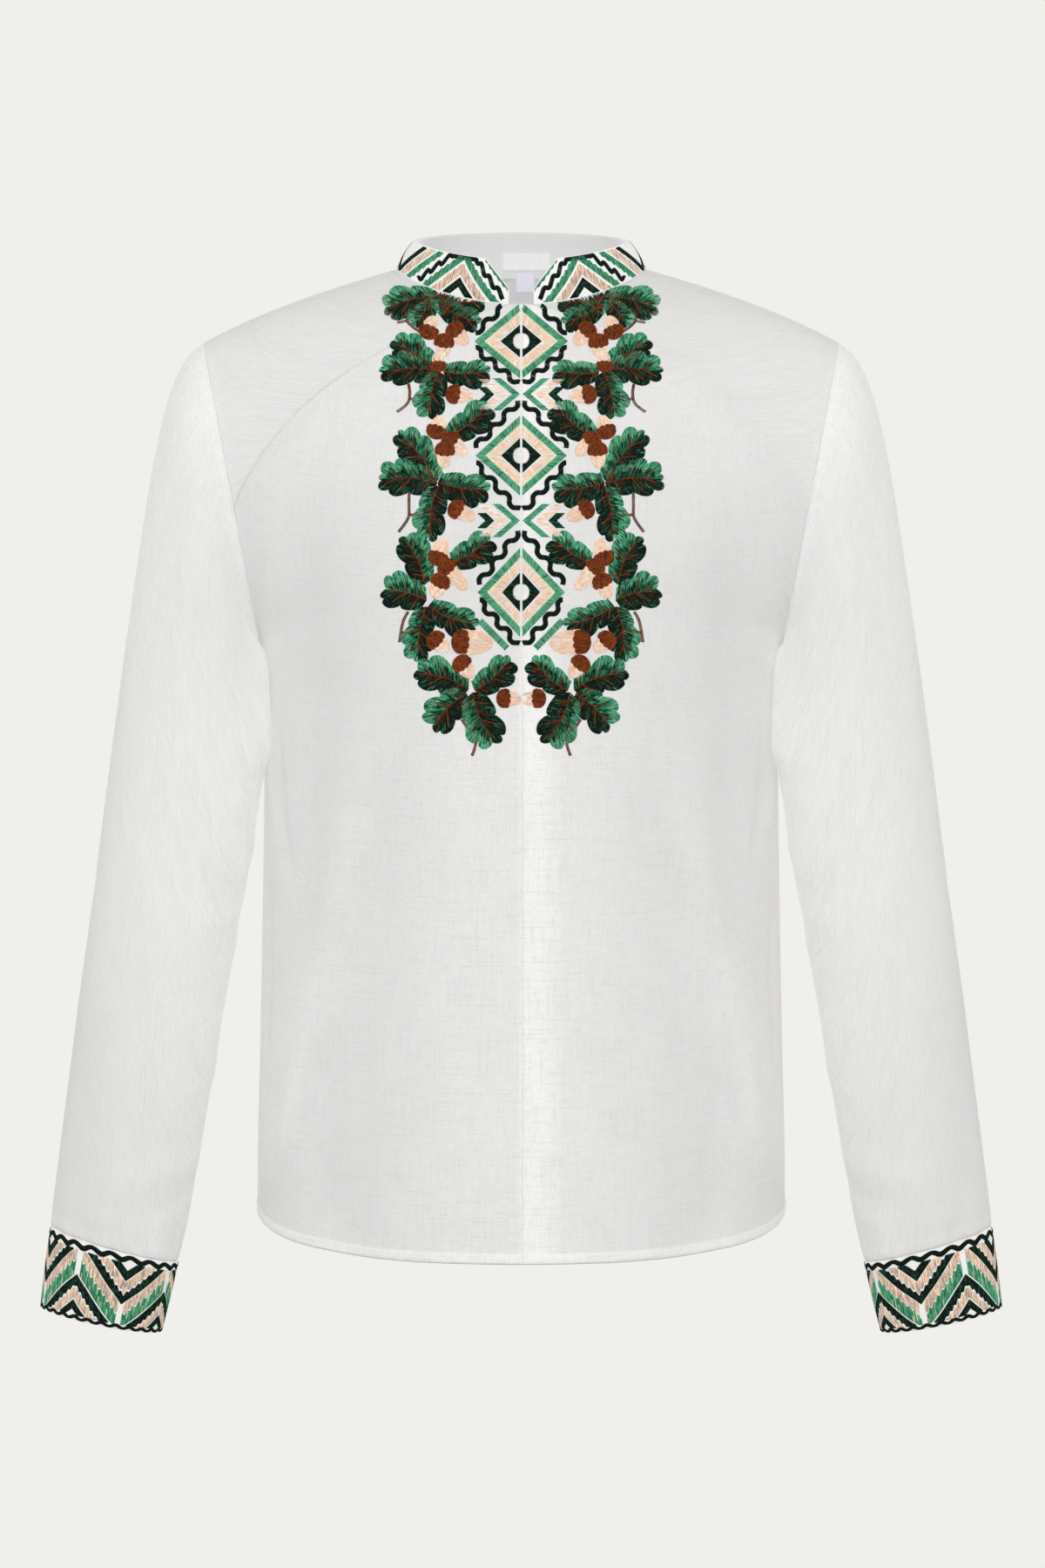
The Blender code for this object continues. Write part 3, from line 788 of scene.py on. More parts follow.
@dataclass(frozen=True)
class Floss:
    """Stranded embroidery thread in the colours of the reel rack, each stitch a little its own."""

    name: str = "embroidery_floss"
    roughness: float = 0.55

    def material(self) -> Material:
        """Builds the finish, which reads each stitch's dye and tone.

        Returns:
            The material.
        """
        made, pen, shader = new_finish(self.name)
        count = len(Dye)
        place = pen.sum("DIVIDE", pen.sum("ADD", pen.carried("dye"), 0.5), float(count))
        rack = pen.add("ShaderNodeValToRGB", {0: place})
        rack.color_ramp.interpolation = "CONSTANT"
        stops = rack.color_ramp.elements
        stops[1].position = 1 / count
        for number, reel in enumerate(Dye):
            stop = stops[number] if number < 2 else stops.new(number / count)
            stop.color = (*reel.value, 1.0)
        spot = pen.add("ShaderNodeTexCoord").outputs["Object"]
        fuzz = pen.spread(pen.grain(spot, 2600.0, 1.0), 0.25, 0.75, 0.86, 1.12)
        value = pen.sum("MULTIPLY", pen.carried("tone"), fuzz)
        toned = pen.add("ShaderNodeHueSaturation", {"Value": value, "Color": rack.outputs[0]}).outputs[0]
        low, high = self.roughness - 0.06, self.roughness + 0.08
        rough = pen.spread(pen.grain(spot, 900.0, 1.0), 0.2, 0.8, low, high)
        pen.feed(shader, {"Base Color": toned, "Roughness": rough, "Specular IOR Level": 0.1})
        return made


@dataclass(frozen=True)
class LabelSatin:
    """Plain woven satin ribbon with fine ribs across it. It carries no lettering."""

    name: str
    colour: tuple
    rib: float = 0.0007

    def material(self) -> Material:
        """Builds the finish.

        Returns:
            The material.
        """
        made, pen, shader = new_finish(self.name)
        cloth = pen.add("ShaderNodeUVMap", uv_map="Weave").outputs[0]
        split = pen.add("ShaderNodeSeparateXYZ", {0: cloth})
        ribs = pen.sum("COSINE", pen.sum("MULTIPLY", split.outputs[1], 2 * math.pi / self.rib))
        cloudy = pen.grain(pen.stretched(cloth, 300.0, 900.0), 1.0)
        darker = tuple(part * 0.92 for part in self.colour[:3]) + (1.0,)
        toned = pen.mix(pen.spread(cloudy, 0.3, 0.7, 0.0, 0.6), self.colour, darker)
        bump = pen.add("ShaderNodeBump", {"Height": ribs, "Strength": 0.4, "Distance": 0.00008})
        rough = pen.spread(cloudy, 0.2, 0.8, 0.42, 0.56)
        pen.feed(shader, {"Base Color": toned, "Roughness": rough, "Normal": bump.outputs[0]})
        return made


# ---- stitches ----
@dataclass
class Stitches:
    """Straight stitches in the flat of a motif panel, as they are drawn and before they are laid.

    Each row is start x, start y, end x, end y, width, dye, tone and lift above the cloth.
    """

    seed: int
    rows: list = field(default_factory=list)

    def __post_init__(self) -> None:
        """Starts the hand's small unevenness from its seed."""
        self.chance = np.random.default_rng(self.seed)

    @property
    def table(self) -> Array:
        """Every stitch drawn so far, one a row."""
        return np.concatenate(self.rows) if self.rows else np.zeros((0, 8))

    def draw(
        self, start: Array, end: Array, dyes: Sequence[Dye], odds: Sequence[float] | None = None,
        longest: float = 0.0052, width: float = 0.00056, unevenness: float = 0.13, lift: float = 0.0,
    ) -> None:
        """Draws stitches from starts to ends, split where they would be too long.

        Args:
            start: Starts, one a row.
            end: Ends, one a row.
            dyes: The colours to pick from.
            odds: How often each colour is picked.
            longest: The longest single stitch.
            width: The thread's width.
            unevenness: How much the stitches' tones differ.
            lift: How far above the cloth they lie.
        """
        length = np.linalg.norm(end - start, axis=1)
        keep = length > 0.0004
        start, end, length = start[keep], end[keep], length[keep]
        parts = np.maximum(np.ceil(length / longest), 1).astype(int)
        for count in np.unique(parts):
            pick = parts == count
            amount = int(pick.sum())
            cuts = np.arange(count + 1)[None] + self.chance.uniform(-0.28, 0.28, (amount, count + 1))
            cuts[:, 0], cuts[:, -1] = 0, count
            cuts = cuts / count
            way, overlap = end[pick] - start[pick], 0.045 / count
            for number in range(count):
                first = start[pick] + way * (cuts[:, number, None] - overlap)
                last = start[pick] + way * (cuts[:, number + 1, None] + overlap)
                dye = self.chance.choice([d.number for d in dyes], amount, p=odds)
                tone = np.clip(1 + self.chance.normal(0, unevenness, amount), 0.5, 1.6)
                row = np.stack([np.full(amount, width), dye, tone, np.full(amount, lift)], axis=1)
                self.rows.append(np.concatenate([first, last, row], axis=1))

    def column(self, rail: Array, facing: Array, dyes: Sequence[Dye], **how: object) -> None:
        """Fills between two rails with satin stitches, evenly spaced along the longer one.

        Args:
            rail: Points of one rail.
            facing: The matching points of the other rail.
            dyes: The colours to pick from.
            **how: Whatever else draw takes, and teeth, how far a toothed far edge swings.
        """
        teeth = how.pop("teeth", 0.0)
        steps = (np.linalg.norm(np.diff(side, axis=0), axis=1) for side in (rail, facing))
        way = np.concatenate([[0.0], np.cumsum(np.maximum(*steps))])
        spots = np.arange(COLUMN_PITCH / 2, way[-1], COLUMN_PITCH)
        first, last = read_along(rail, way, spots), read_along(facing, way, spots)
        if teeth:
            bite = np.abs((spots / TOOTH) % 1.0 - 0.5) * 2
            last = last + unit(last - first) * (teeth * (bite - 0.5))[:, None]
        self.draw(first, last, dyes, **how)

    def line(
        self, path: Array, dyes: Sequence[Dye], thread: float = 0.0005, strands: int = 2, **how: object
    ) -> None:
        """Runs stem stitches along a path, in strands side by side.

        Args:
            path: Points of the path.
            dyes: The colours to pick from.
            thread: The thread's width.
            strands: How many threads lie side by side.
            **how: Whatever else draw takes, and step for the stitches' length.
        """
        step = how.pop("step", 0.0026)
        way = run_length(path, 0)
        count = max(int(round(way[-1] / step)), 1)
        aside = left_of(unit(np.gradient(path, axis=0)))
        for strand in range(strands):
            moved = path + aside * ((strand - (strands - 1) / 2) * thread * 0.9)
            ends = np.linspace(0, way[-1], count + 1)
            ends[1:-1] += step * 0.5 * (strand % 2)
            ends = np.clip(ends, 0, way[-1])
            spots = read_along(moved, way, ends)
            self.draw(spots[:-1], spots[1:], dyes, width=thread, longest=1.0, **how)


def laid(lay: Callable[[Array], tuple], table: Array) -> dict:
    """Lays drawn stitches on the cloth.

    Args:
        lay: Gives the places and normals of flat points of the motif panel.
        table: The drawn stitches.

    Returns:
        Each thread's middle, run, up, size, dye and tone.
    """
    start, _ = lay(table[:, 0:2])
    end, _ = lay(table[:, 2:4])
    middle, up = lay((table[:, 0:2] + table[:, 2:4]) / 2)
    run = end - start
    length = np.linalg.norm(run, axis=1)
    seat = np.maximum(0.0, np.einsum("ij,ij->i", middle - (start + end) / 2, up))
    centre = (start + end) / 2 + up * (seat + 0.00006 + table[:, 7])[:, None]
    height = np.clip(length * 0.1, 0.00016, 0.00026)
    size = np.stack([height, table[:, 4] / 2, length], axis=1)
    good = np.isfinite(centre).all(axis=1) & (length > 1e-5) & (length < 0.02)
    parts = {"co": centre, "run": unit(run), "up": up, "size": size, "dye": table[:, 5], "tone": table[:, 6]}
    return {name: value[good] for name, value in parts.items()}


@dataclass
class ThreadMaker:
    """Turns laid stitches into thread, each a closed body that dips into the cloth at both ends."""

    floss: Material
    plumpness: float = 1.0
    full_length: float = 0.43
    sink: float = 0.7

    def __post_init__(self) -> None:
        """Builds the tree once, for every piece of stitching."""
        number = "NodeSocketFloat"
        sizes = (("Plumpness", number, 1.0), ("Full Length", number, 0.43), ("Sink", number, 0.7))
        inputs = (("Spots", "NodeSocketGeometry", None), *sizes, ("Floss", "NodeSocketMaterial", None))
        outputs = (("Thread", "NodeSocketGeometry"),)
        self.tree, pen, given, result = node_group("stitched_thread", "GeometryNodeTree", inputs, outputs)
        plumpness, full, sink = (given.outputs[name] for name in ("Plumpness", "Full Length", "Sink"))
        body = pen.add("GeometryNodeMeshUVSphere", {"Segments": 3, "Rings": 3, "Radius": 1.0})
        place = pen.add("ShaderNodeSeparateXYZ", {0: pen.add("GeometryNodeInputPosition").outputs[0]})
        tip = pen.sum("GREATER_THAN", pen.sum("ABSOLUTE", place.outputs[2]), 0.9)
        reach = pen.sum("ADD", full, pen.sum("MULTIPLY", tip, pen.sum("SUBTRACT", 0.5, full)))
        z = pen.sum("MULTIPLY", pen.sum("SIGN", place.outputs[2]), reach)
        x = pen.sum("DIVIDE", place.outputs[0], 0.866)
        x = pen.sum("SUBTRACT", x, pen.sum("MULTIPLY", tip, sink))
        y = pen.sum("DIVIDE", place.outputs[1], 0.75)
        shape = pen.add("ShaderNodeCombineXYZ", {0: x, 1: y, 2: z}).outputs[0]
        formed = pen.add("GeometryNodeSetPosition", {"Geometry": body.outputs[0], "Position": shape})
        whole = pen.add("GeometryNodeSetShadeSmooth", {0: formed.outputs[0]}).outputs[0]
        run, up, size = (
            pen.add("GeometryNodeInputNamedAttribute", {"Name": name}, data_type="FLOAT_VECTOR").outputs[0]
            for name in ("run", "up", "size")
        )
        turner = "FunctionNodeAlignRotationToVector"
        first = pen.add(turner, {"Vector": run}, axis="Z").outputs[0]
        turned = pen.add(turner, {"Rotation": first, "Vector": up}, axis="X", pivot_axis="Z").outputs[0]
        plump = pen.add("ShaderNodeCombineXYZ", {0: plumpness, 1: plumpness, 2: 1.0}).outputs[0]
        scale = pen.add("ShaderNodeVectorMath", {0: size, 1: plump}, operation="MULTIPLY").outputs[0]
        inputs = {"Points": given.outputs["Spots"], "Instance": whole, "Rotation": turned, "Scale": scale}
        laid = pen.add("GeometryNodeInstanceOnPoints", inputs).outputs[0]
        real = pen.add("GeometryNodeRealizeInstances", {"Geometry": laid}).outputs[0]
        dressed = pen.add("GeometryNodeSetMaterial", {"Geometry": real, "Material": given.outputs["Floss"]})
        pen.feed(result, {0: dressed.outputs[0]})

    def make(self, name: str, threads: Sequence[dict]) -> Object:
        """Makes one piece of stitching.

        Args:
            name: The piece's name.
            threads: Laid stitches, in one or more lots.

        Returns:
            The piece, as plain mesh.
        """
        lots = {key: np.concatenate([lot[key] for lot in threads]) for key in threads[0]}
        data = bpy.data.meshes.new(name)
        data.from_pydata(lots["co"].tolist(), [], [])
        for key in ("run", "up", "size", "dye", "tone"):
            kind, slot = ("FLOAT_VECTOR", "vector") if lots[key].ndim > 1 else ("FLOAT", "value")
            layer = data.attributes.new(key, kind, "POINT")
            layer.data.foreach_set(slot, lots[key].astype(np.float32).reshape(-1))
        made = new_object(name, data)
        needle = made.modifiers.new("Needle", "NODES")
        needle.node_group = self.tree
        sizes = {"Plumpness": self.plumpness, "Full Length": self.full_length, "Sink": self.sink}
        sizes["Floss"] = self.floss
        for item in self.tree.interface.items_tree:
            if item.in_out == "INPUT" and item.name in sizes:
                needle[item.identifier] = sizes[item.name]
        settle(made)
        for key in ("run", "up", "size"):
            if key in made.data.attributes:
                made.data.attributes.remove(made.data.attributes[key])
        if not made.data.materials:
            made.data.materials.append(self.floss)
        return made


# ---- motifs ----
BLACK, DARKS, GREENS = (Dye.BLACK_GREEN,), (Dye.BLACK_GREEN, Dye.PINE), (Dye.MINT, Dye.FERN)
PALES = (Dye.PEACH, Dye.SAND, Dye.WHITE)
SANDS = (Dye.SAND, Dye.OAT, Dye.PEACH, Dye.CREAM)
DARK_LEAF = ((Dye.BLACK_GREEN, Dye.PINE, Dye.BARK), (0.72, 0.12, 0.16))
DARK_RIM = ((Dye.BLACK_GREEN, Dye.PINE, Dye.FERN), (0.78, 0.15, 0.07))
LIT_LEAF = ((Dye.PINE, Dye.FERN, Dye.BLACK_GREEN), (0.38, 0.26, 0.36))
LIT_RIM = ((Dye.FERN, Dye.MINT, Dye.PINE), (0.34, 0.52, 0.14))


@dataclass(frozen=True)
class OakLeaf:
    """An oak leaf in long and short stitch, pale on one side of its vein and dark on the other.

    base and tip are in millimetres from the panel's origin. lit is 1 where the pale
    side lies on the left of the way from base to tip, and -1 where on the right.
    """

    base: tuple
    tip: tuple
    lit: int = 1
    width: float = 20.0
    lobes: float = 3.0
    bend: float = 0.05

    def outline(self, side: int, places: Array) -> tuple:
        """The vein points and lobed rim points of one half.

        Args:
            side: 1 for the left half, -1 for the right.
            places: How far along the half, 0 at the base and 1 at the tip.

        Returns:
            The starts on the vein and the ends on the rim.
        """
        base, tip = np.array(self.base) * MM, np.array(self.tip) * MM
        length = float(np.linalg.norm(tip - base))
        along = (tip - base) / length
        aside = left_of(along)
        walked = 1 - (1 - places) ** 1.5
        vein = base + along * (0.8 * length * walked)[:, None]
        vein = vein + aside * (self.bend * length * np.sin(math.pi * walked))[:, None]
        angle = np.radians(72) * (1 - places**2.2)
        ray = along * np.cos(angle)[:, None] + side * aside * np.sin(angle)[:, None]
        broad = self.width / 2 * MM
        reach = broad * (0.74 + 0.3 * smooth(places / 0.46)) / np.maximum(np.sin(angle), 0.85)
        reach = reach + (0.2 * length - reach) * smooth((places - 0.62) / 0.38)
        lobe = 0.7 + 0.32 * np.sqrt(np.abs(np.sin(math.pi * (self.lobes * places + 0.08 * side))))
        return vein, vein + ray * (reach * lobe)[:, None]

    def stitch(self, work: Stitches) -> None:
        """Draws the leaf: two halves in two bands each, then its veins on top.

        Args:
            work: The stitches to add to.
        """
        fine = np.linspace(0, 1, 400)
        for side in (1, -1):
            vein, rim = self.outline(side, fine)
            middle = vein + (rim - vein) * 0.78
            step = np.abs(np.cross(unit(rim - vein)[:-1], np.diff(middle, axis=0)))
            way = np.concatenate([[0], np.cumsum(step)])
            places = np.interp(np.arange(0.0002, way[-1], LEAF_PITCH), way, fine)
            vein, rim = self.outline(side, places)
            lit = side == self.lit
            change = 0.52 + work.chance.uniform(-0.13, 0.13, len(places))
            change = change + 0.05 * np.sin(places * 40)
            border = vein + (rim - vein) * change[:, None]
            inner, outer = (LIT_LEAF, LIT_RIM) if lit else (DARK_LEAF, DARK_RIM)
            work.draw(vein, border, inner[0], inner[1], unevenness=0.22, width=0.00072)
            work.draw(border, rim, outer[0], outer[1], unevenness=0.2, width=0.00074)
        self.stitch_veins(work)

    def stitch_veins(self, work: Stitches) -> None:
        """Draws the brown midrib and side veins over the leaf.

        Args:
            work: The stitches to add to.
        """
        places = np.linspace(0, 0.94, 40)
        vein, _ = self.outline(1, places)
        work.line(vein, (Dye.CHESTNUT, Dye.BARK), strands=2, lift=0.00032, unevenness=0.2)
        for side in (1, -1):
            for number in range(int(self.lobes)):
                place = (number + 0.5 - 0.1 * side) / self.lobes
                start, end = self.outline(side, np.array([max(place - 0.05, 0.0), place]))
                path = start[0] + (end[1] - start[0]) * np.linspace(0, 0.66, 8)[:, None]
                work.line(path, (Dye.CHESTNUT,), strands=1, thread=0.00062, lift=0.00034, step=0.003)


@dataclass(frozen=True)
class Acorn:
    """An acorn: a knotted brown cup, and a pale nut that looks out of it."""

    cup: tuple
    nut: tuple
    size: float = 1.0
    fullness: float = 1.0

    @staticmethod
    def columns(half: float) -> tuple:
        """Where the stitches lie across a round form of this half width, and how tall it is there."""
        across = np.arange(-half, half, NUT_PITCH)
        return across, np.sqrt(np.clip(1 - (across / half) ** 2, 0, 1))

    def stitch(self, work: Stitches) -> None:
        """Draws the nut and then the cup.

        Args:
            work: The stitches to add to.
        """
        cup, nut = np.array(self.cup) * MM, np.array(self.nut) * MM
        ahead = unit(nut - cup)
        aside = left_of(ahead)
        half_nut, half_cup = 5.6 * MM * self.size * self.fullness, 7.0 * MM * self.size
        reach = float(np.linalg.norm(nut - cup)) + 4.6 * MM * self.size
        across, round_off = self.columns(half_nut)
        foot = cup + aside * across[:, None]
        head = foot + ahead * (reach * (0.25 + 0.75 * round_off))[:, None]
        work.draw(foot, head, PALES, (0.58, 0.22, 0.2), unevenness=0.07, longest=0.0042, lift=0.00022)
        across, round_off = self.columns(half_cup)
        middle = cup + aside * across[:, None]
        back = middle - ahead * (5.8 * MM * self.size * round_off)[:, None]
        scallop = 4.0 + 0.9 * np.abs(np.sin(across / half_cup * 5.5))
        front = middle + ahead * (scallop * MM * self.size * (0.45 + 0.55 * round_off))[:, None]
        how = {"unevenness": 0.24, "longest": 0.0021, "width": 0.0006, "lift": 0.0005}
        work.draw(back, front, (Dye.CHESTNUT, Dye.BARK), (0.72, 0.28), **how)


@dataclass(frozen=True)
class Stem:
    """A thin bent stem in two strands."""

    path: tuple

    def stitch(self, work: Stitches) -> None:
        """Draws the stem on a smooth curve through its points."""
        points = through(self.path, np.linspace(0, len(self.path) - 1, 24)) * MM
        work.line(points, (Dye.BARK, Dye.CHESTNUT), odds=(0.7, 0.3), strands=4, thread=0.0006, unevenness=0.2)


@dataclass(frozen=True)
class Diamond:
    """Nested diamond rings on the front edge, of which each front carries half."""

    centre: float
    half_width: float
    half_height: float
    edge: float = 0.9
    eye: float = 5.8

    def ring(self, work: Stitches, outer: float, inner: float, dyes: Sequence[Dye], **how: object) -> None:
        """Draws one ring between two shares of the diamond's size.

        Args:
            work: The stitches to add to.
            outer: The ring's outer share.
            inner: Its inner share, or 0 for a round eye.
            dyes: Its colours.
            **how: Whatever else a column takes.
        """
        for upwards in (1, -1):
            part = np.linspace(0, 1, 60)
            rails = []
            for share in (outer, inner):
                x = self.edge + (self.half_width * share - self.edge) * part
                z = self.centre + upwards * self.half_height * share * (1 - part)
                if share == 0:
                    x = self.edge + (self.eye - self.edge) * np.sin(part * math.pi / 2)
                    z = self.centre + upwards * self.eye * np.cos(part * math.pi / 2)
                rails.append(np.stack([x, z], axis=1) * MM)
            work.column(rails[0], rails[1], dyes, **how)

    def stitch(self, work: Stitches) -> None:
        """Draws the rings: green, sand and dark round an open middle."""
        self.ring(work, 0.79, 0.71, (Dye.CREAM, Dye.WHITE), odds=(0.7, 0.3), unevenness=0.06)
        self.ring(work, 1.0, 0.79, GREENS, odds=(0.72, 0.28), teeth=0.0016, unevenness=0.12, lift=0.0001)
        self.ring(work, 0.49, 0.71, PALES, odds=(0.35, 0.5, 0.15), teeth=0.0014, unevenness=0.08, lift=0.0001)
        self.ring(work, 0.44, 0.0, DARKS, odds=(0.85, 0.15), teeth=0.001, unevenness=0.12)


@dataclass(frozen=True)
class WavyLine:
    """A stepped, rounded line in satin stitch from one point to another."""

    start: tuple
    end: tuple
    steps: float
    swing: float
    phase: float
    thickness: float = 3.6

    def stitch(self, work: Stitches) -> None:
        """Draws the line."""
        part = np.linspace(0, 1, 200)
        start, end = np.array(self.start), np.array(self.end)
        along = unit(end - start)
        aside = left_of(along)
        turn = 2 * math.pi * (self.steps * part + self.phase)
        sideways = self.swing * (np.sin(turn) + 0.1 * np.sin(3 * turn))
        path = (start + (end - start) * part[:, None] + aside * sideways[:, None]) * MM
        satin_line(work, path, self.thickness * MM, BLACK, unevenness=0.18)


def satin_line(work: Stitches, path: Array, thickness: float, dyes: Sequence[Dye], **how: object) -> None:
    """Covers a path with short stitches across it, with whatever else a column takes."""
    aside = left_of(unit(np.gradient(path, axis=0))) * thickness / 2
    work.column(path - aside, path + aside, dyes, **how)


@dataclass(frozen=True)
class Arrowhead:
    """A chevron that points at the front edge: two arms in flat-lying stitches."""

    apex: tuple
    reach: float
    rise: float
    thickness: float
    dyes: tuple
    teeth: float = 0.0

    def stitch(self, work: Stitches) -> None:
        """Draws the two arms."""
        for upwards in (1, -1):
            part = np.linspace(0, 1, 40)
            x = self.apex[0] + self.reach * part
            z = self.apex[1] + upwards * self.rise * part
            near = np.stack([x, z], axis=1) * MM
            far = np.stack([x + self.thickness, z], axis=1) * MM
            work.column(near, far, self.dyes, teeth=self.teeth, unevenness=0.12)


@dataclass
class ChestPanel:
    """The two mirrored motif panels down the front: diamonds at the edge, oak sprays beside them."""

    leaves: tuple = (
        ((61.5, -24.0), (74.5, -42.0), 1, 18.0, 2.6), ((56.9, -26.3), (29.7, -40.8), -1, 20.0, 3.0),
        ((52.5, -33.0), (62.0, -12.0), -1, 19.0, 2.6), ((60.1, -20.5), (97.0, -27.5), 1, 26.0, 3.0),
        ((58.5, -20.6), (24.6, -25.4), -1, 19.0, 3.0), ((59.6, -75.1), (90.4, -51.3), 1, 23.0),
        ((56.5, -74.5), (100.0, -73.5), 1, 24.0, 3.4), ((54.7, -74.5), (21.7, -75.3), -1, 21.0),
        ((57.7, -74.5), (65.4, -108.0), 1, 23.0), ((50.6, -121.3), (22.4, -99.7), -1, 24.0),
        ((59.7, -154.1), (86.0, -116.8), 1, 24.0, 3.4), ((58.6, -154.7), (99.6, -150.4), 1, 26.0, 3.4),
        ((58.2, -153.6), (22.1, -160.2), -1, 24.0), ((57.4, -156.0), (64.8, -195.4), 1, 23.0),
        ((48.2, -210.3), (20.7, -193.7), -1, 23.0), ((67.0, -225.5), (80.9, -190.8), 1, 23.0),
        ((65.8, -236.4), (95.4, -228.1), 1, 26.0, 3.0), ((64.6, -240.3), (30.1, -255.2), -1, 22.0),
        ((65.8, -240.7), (72.6, -279.4), 1, 22.0, 3.4), ((36.6, -298.4), (73.5, -284.5), 1, 25.0),
        ((37.8, -301.4), (62.6, -323.6), 1, 26.0, 3.0), ((32.4, -299.0), (6.4, -278.0), -1, 22.0),
        ((33.8, -300.5), (18.6, -336.6), 1, 27.0),
    )
    acorns: tuple = (
        ((65.3, -45.7), (62.8, -38.8)), ((46.8, -44.7), (40.7, -51.7)), ((54.2, -52.8), (55.1, -59.7)),
        ((47.3, -91.1), (38.1, -92.5)), ((58.4, -70.3), (58.4, -63.6), 0.8),
        ((59.4, -117.7), (57.0, -110.6)), ((49.6, -124.0), (41.6, -131.5)),
        ((53.2, -130.8), (53.8, -139.4)), ((45.2, -172.7), (36.1, -177.7)),
        ((57.9, -206.8), (54.9, -197.7)), ((51.8, -213.5), (40.9, -225.7)),
        ((56.0, -223.2), (59.4, -230.4)), ((59.7, -263.8), (54.2, -268.7)),
        ((41.6, -265.4), (25.0, -266.2), 1.2, 1.3), ((41.4, -280.3), (36.6, -286.3)),
        ((11.8, -304.6), (3.9, -304.8), 0.95),
    )
    stems: tuple = (
        ((79.5, -30.2), (80.7, -37.2), (76.4, -42.3), (70.8, -46.2)),
        ((87.5, -38.9), (84.5, -38.6), (81.3, -37.8)),
        ((79.2, -83.0), (78.2, -89.9), (79.7, -97.4), (87.1, -103.4)),
        ((78.5, -93.7), (76.5, -94.2), (74.2, -94.4)),
        ((78.2, -159.9), (78.2, -170.4), (78.7, -178.9), (85.4, -188.6)),
        ((78.1, -176.5), (74.5, -176.8), (70.8, -176.6)),
        ((78.6, -244.2), (81.7, -249.6), (83.5, -256.9), (84.7, -265.4)),
        ((83.5, -258.7), (77.0, -258.0), (71.3, -255.8)),
        ((41.5, -319.0), (37.2, -325.0), (31.8, -329.3), (31.8, -337.1), (34.2, -344.4)),
    )
    diamonds: tuple = ((-52.6, 33.0, 27.0), (-135.0, 31.8, 28.2), (-230.9, 30.2, 30.8))
    waves: tuple = (
        ((11.5, -27.0), (32.0, -46.5), 2.0, 1.9, 0.0), ((32.6, -57.6), (1.9, -83.5), 3.1, 2.0, 0.55),
        ((1.9, -96.5), (32.0, -129.0), 3.1, 2.1, 0.45), ((32.0, -140.5), (1.9, -173.5), 3.1, 2.1, 0.55),
        ((1.9, -188.5), (29.5, -225.0), 3.1, 2.1, 0.45), ((29.5, -236.5), (2.2, -267.5), 3.1, 2.1, 0.55),
    )
    arrows: tuple = tuple(
        arrow
        for centre in (-91.2, -180.9)
        for arrow in (
            ((0.9, centre), 13.4, 11.6, 5.6, (Dye.MINT, Dye.MINT, Dye.FERN), 0.0014),
            ((10.0, centre), 13.2, 11.0, 6.6, PALES, 0.0014),
            ((18.8, centre), 5.4, 5.2, 6.2, DARKS, 0.0008),
        )
    )
    corner_stripe: tuple = ((28.7, -250.6), (10.0, -269.6))

    def leaf_work(self, seed: int) -> Stitches:
        """Draws the leaves of one panel."""
        work = Stitches(seed)
        for row in self.leaves:
            OakLeaf(*row).stitch(work)
        return work

    def band_work(self, seed: int) -> Stitches:
        """Draws everything but the leaves of one panel."""
        work = Stitches(seed)
        stems = [(path,) for path in self.stems]
        groups = ((Diamond, self.diamonds), (WavyLine, self.waves), (Arrowhead, self.arrows), (Stem, stems))
        for kind, rows in (*groups, (Acorn, self.acorns)):
            for row in rows:
                kind(*row).stitch(work)
        stripe = np.array(self.corner_stripe) * MM
        path = stripe[0] + (stripe[1] - stripe[0]) * np.linspace(0, 1, 30)[:, None]
        satin_line(work, path, 0.0046, GREENS, teeth=0.0008, unevenness=0.12)
        return work


@dataclass(frozen=True)
class ZigzagBand:
    """A border of nested zigzags between wavy lines, for the collar and the cuffs.

    Along the band, peak is where a point stands highest, and half is the way from a
    peak to the next valley. Stripes are vertical offsets from the middle line. split is
    the bare half gap that the first two leave at every corner.
    """

    start: float
    end: float
    peak: float
    half: float
    low: float
    high: float
    slope: float
    stripes: tuple
    centre: float
    split: float = 0.0

    def middle(self, along: Array) -> Array:
        """The height of the zigzag's middle line, in millimetres."""
        fold = np.abs(((along - self.peak) / self.half) % 2.0 - 1.0)
        return self.centre + (fold - 0.5) * self.half * self.slope

    def stitch(self, work: Stitches, top: Callable[[Array], Array]) -> None:
        """Draws the stripes, each cut off at the band's edges.

        Args:
            work: The stitches to add to.
            top: The band's upper limit along it, in millimetres.
        """
        along = np.arange(self.start, self.end, 0.46)
        middle = self.middle(along)
        limit = np.minimum(top(along), self.high)
        from_corner = self.half / 2 - np.abs(((along - self.peak) / self.half) % 1.0 - 0.5) * self.half
        for number, (low, high, dyes, odds, teeth) in enumerate(self.stripes):
            bite = (np.abs((along / 3.6) % 1.0 - 0.5) * 2 - 0.5) * abs(teeth) * 1.2
            foot = middle + low + (bite if teeth < 0 else 0.0)
            head = middle + high + (bite if teeth > 0 else 0.0)
            foot, head = np.maximum(foot, self.low), np.minimum(head, limit)
            keep = (head - foot > 0.9) & ((number > 1) | (from_corner >= self.split))
            start = np.stack([along, foot], axis=1)[keep] * MM
            end = np.stack([along, head], axis=1)[keep] * MM
            work.draw(start, end, dyes, odds, unevenness=0.14, longest=0.006, width=0.00058)


